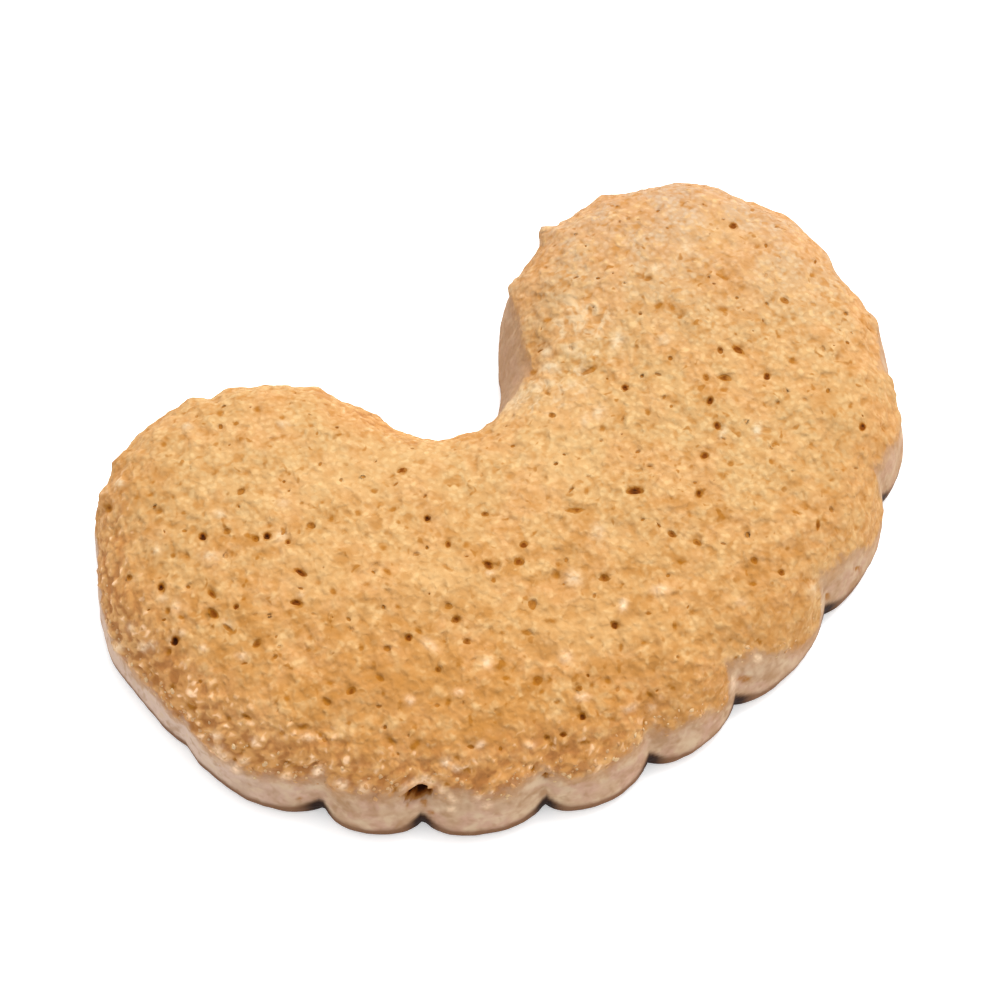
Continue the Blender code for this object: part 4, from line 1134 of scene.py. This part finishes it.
def lump():
    """A ball of twenty triangles."""
    g = (1 + math.sqrt(5)) / 2
    points = np.array([(a, b, 0.0) for a in (-1, 1) for b in (-g, g)])
    points = np.concatenate([points, points[:, (2, 0, 1)], points[:, (1, 2, 0)]]) / math.hypot(1, g)
    near = np.linalg.norm(points[:, None] - points[None], axis=2) < 1.1
    faces = []
    for a in range(12):
        for b in range(a + 1, 12):
            for c in range(b + 1, 12):
                if near[a, b] and near[b, c] and near[a, c]:
                    out = np.cross(points[b] - points[a], points[c] - points[a]) @ points[a] > 0
                    faces.append((a, b, c) if out else (a, c, b))
    return points, np.array(faces)


def add_floor():
    """A plain pale floor."""
    mesh = bpy.data.meshes.new("floor")
    corners = ((-1, -1, 0), (1, -1, 0), (1, 1, 0), (-1, 1, 0))
    mesh.from_pydata([tuple(FLOOR_REACH * x for x in corner) for corner in corners], [], [(0, 1, 2, 3)])
    n = Nodes("pale_floor")
    n.shader.inputs["Base Color"].default_value = (0.95, 0.95, 0.95, 1.0)
    n.shader.inputs["Emission Color"].default_value = (1.0, 1.0, 1.0, 1.0)
    n.shader.inputs["Emission Strength"].default_value = FLOOR_GLOW
    n.shader.inputs["Roughness"].default_value = 1.0
    n.shader.inputs["Specular IOR Level"].default_value = 0.0
    mesh.materials.append(n.material)
    floor = bpy.data.objects.new("floor", mesh)
    bpy.context.collection.objects.link(floor)


def add_light(name, place, size, power):
    """A soft square light aimed at the biscuit."""
    lamp = bpy.data.lights.new(name, "AREA")
    lamp.shape = "SQUARE"
    lamp.size = size
    lamp.energy = power
    made = bpy.data.objects.new(name, lamp)
    made.location = place
    made.rotation_euler = (-Vector(place)).to_track_quat("-Z", "Y").to_euler()
    bpy.context.collection.objects.link(made)


def add_world(front, back):
    """Even light from all round, stronger from behind and above than from the camera's side."""
    world = bpy.data.worlds.new("studio")
    world.use_nodes = True
    nodes, links = world.node_tree.nodes, world.node_tree.links
    nodes["Background"].inputs["Color"].default_value = (1.0, 1.0, 1.0, 1.0)
    where = nodes.new("ShaderNodeTexCoord")
    along = nodes.new("ShaderNodeVectorMath")
    along.operation = "DOT_PRODUCT"
    along.inputs[1].default_value = Vector(BRIGHT_SIDE).normalized()
    level = nodes.new("ShaderNodeMapRange")
    level.inputs["From Min"].default_value = -0.1
    level.inputs["To Min"].default_value = front
    level.inputs["To Max"].default_value = back
    links.new(where.outputs["Generated"], along.inputs[0])
    links.new(along.outputs["Value"], level.inputs["Value"])
    links.new(level.outputs["Result"], nodes["Background"].inputs["Strength"])
    bpy.context.scene.world = world


def add_camera():
    """The camera at the photograph's angle, aimed at the point that the edge is drawn round."""
    lens = bpy.data.cameras.new("camera")
    camera = bpy.data.objects.new("camera", lens)
    right, up, back = view_axes()
    place = (back * VIEW_DISTANCE - ORIGIN) * MM
    axes = Matrix((right, up, back)).transposed().to_4x4()
    camera.matrix_world = Matrix.Translation(place) @ axes
    lens.sensor_width = SENSOR
    lens.lens = SENSOR * PIXELS_PER_MM * VIEW_DISTANCE / PIXELS
    lens.shift_x = (PIXELS / 2 - AIM_PIXEL[0]) / PIXELS
    lens.shift_y = (AIM_PIXEL[1] - PIXELS / 2) / PIXELS
    lens.clip_start = 0.01
    bpy.context.collection.objects.link(camera)
    bpy.context.scene.camera = camera


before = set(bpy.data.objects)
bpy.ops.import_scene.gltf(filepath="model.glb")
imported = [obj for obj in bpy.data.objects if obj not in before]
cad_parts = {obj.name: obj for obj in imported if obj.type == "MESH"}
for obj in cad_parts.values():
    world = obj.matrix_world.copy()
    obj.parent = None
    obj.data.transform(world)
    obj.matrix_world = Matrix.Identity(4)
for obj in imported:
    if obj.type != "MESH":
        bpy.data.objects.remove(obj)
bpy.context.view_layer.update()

add_camera()
body, points, faces, part, above, along = build_biscuit()
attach(body, "root")
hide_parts("biscuit")
grains = build_grains(points, faces, part, above, along)
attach(grains, "root")

add_floor()
add_world(*STUDIO_LEVELS)
add_light("key_light", *LAMP)
bpy.context.scene.view_settings.view_transform = "Standard"
bpy.context.scene.view_settings.exposure = 0.0
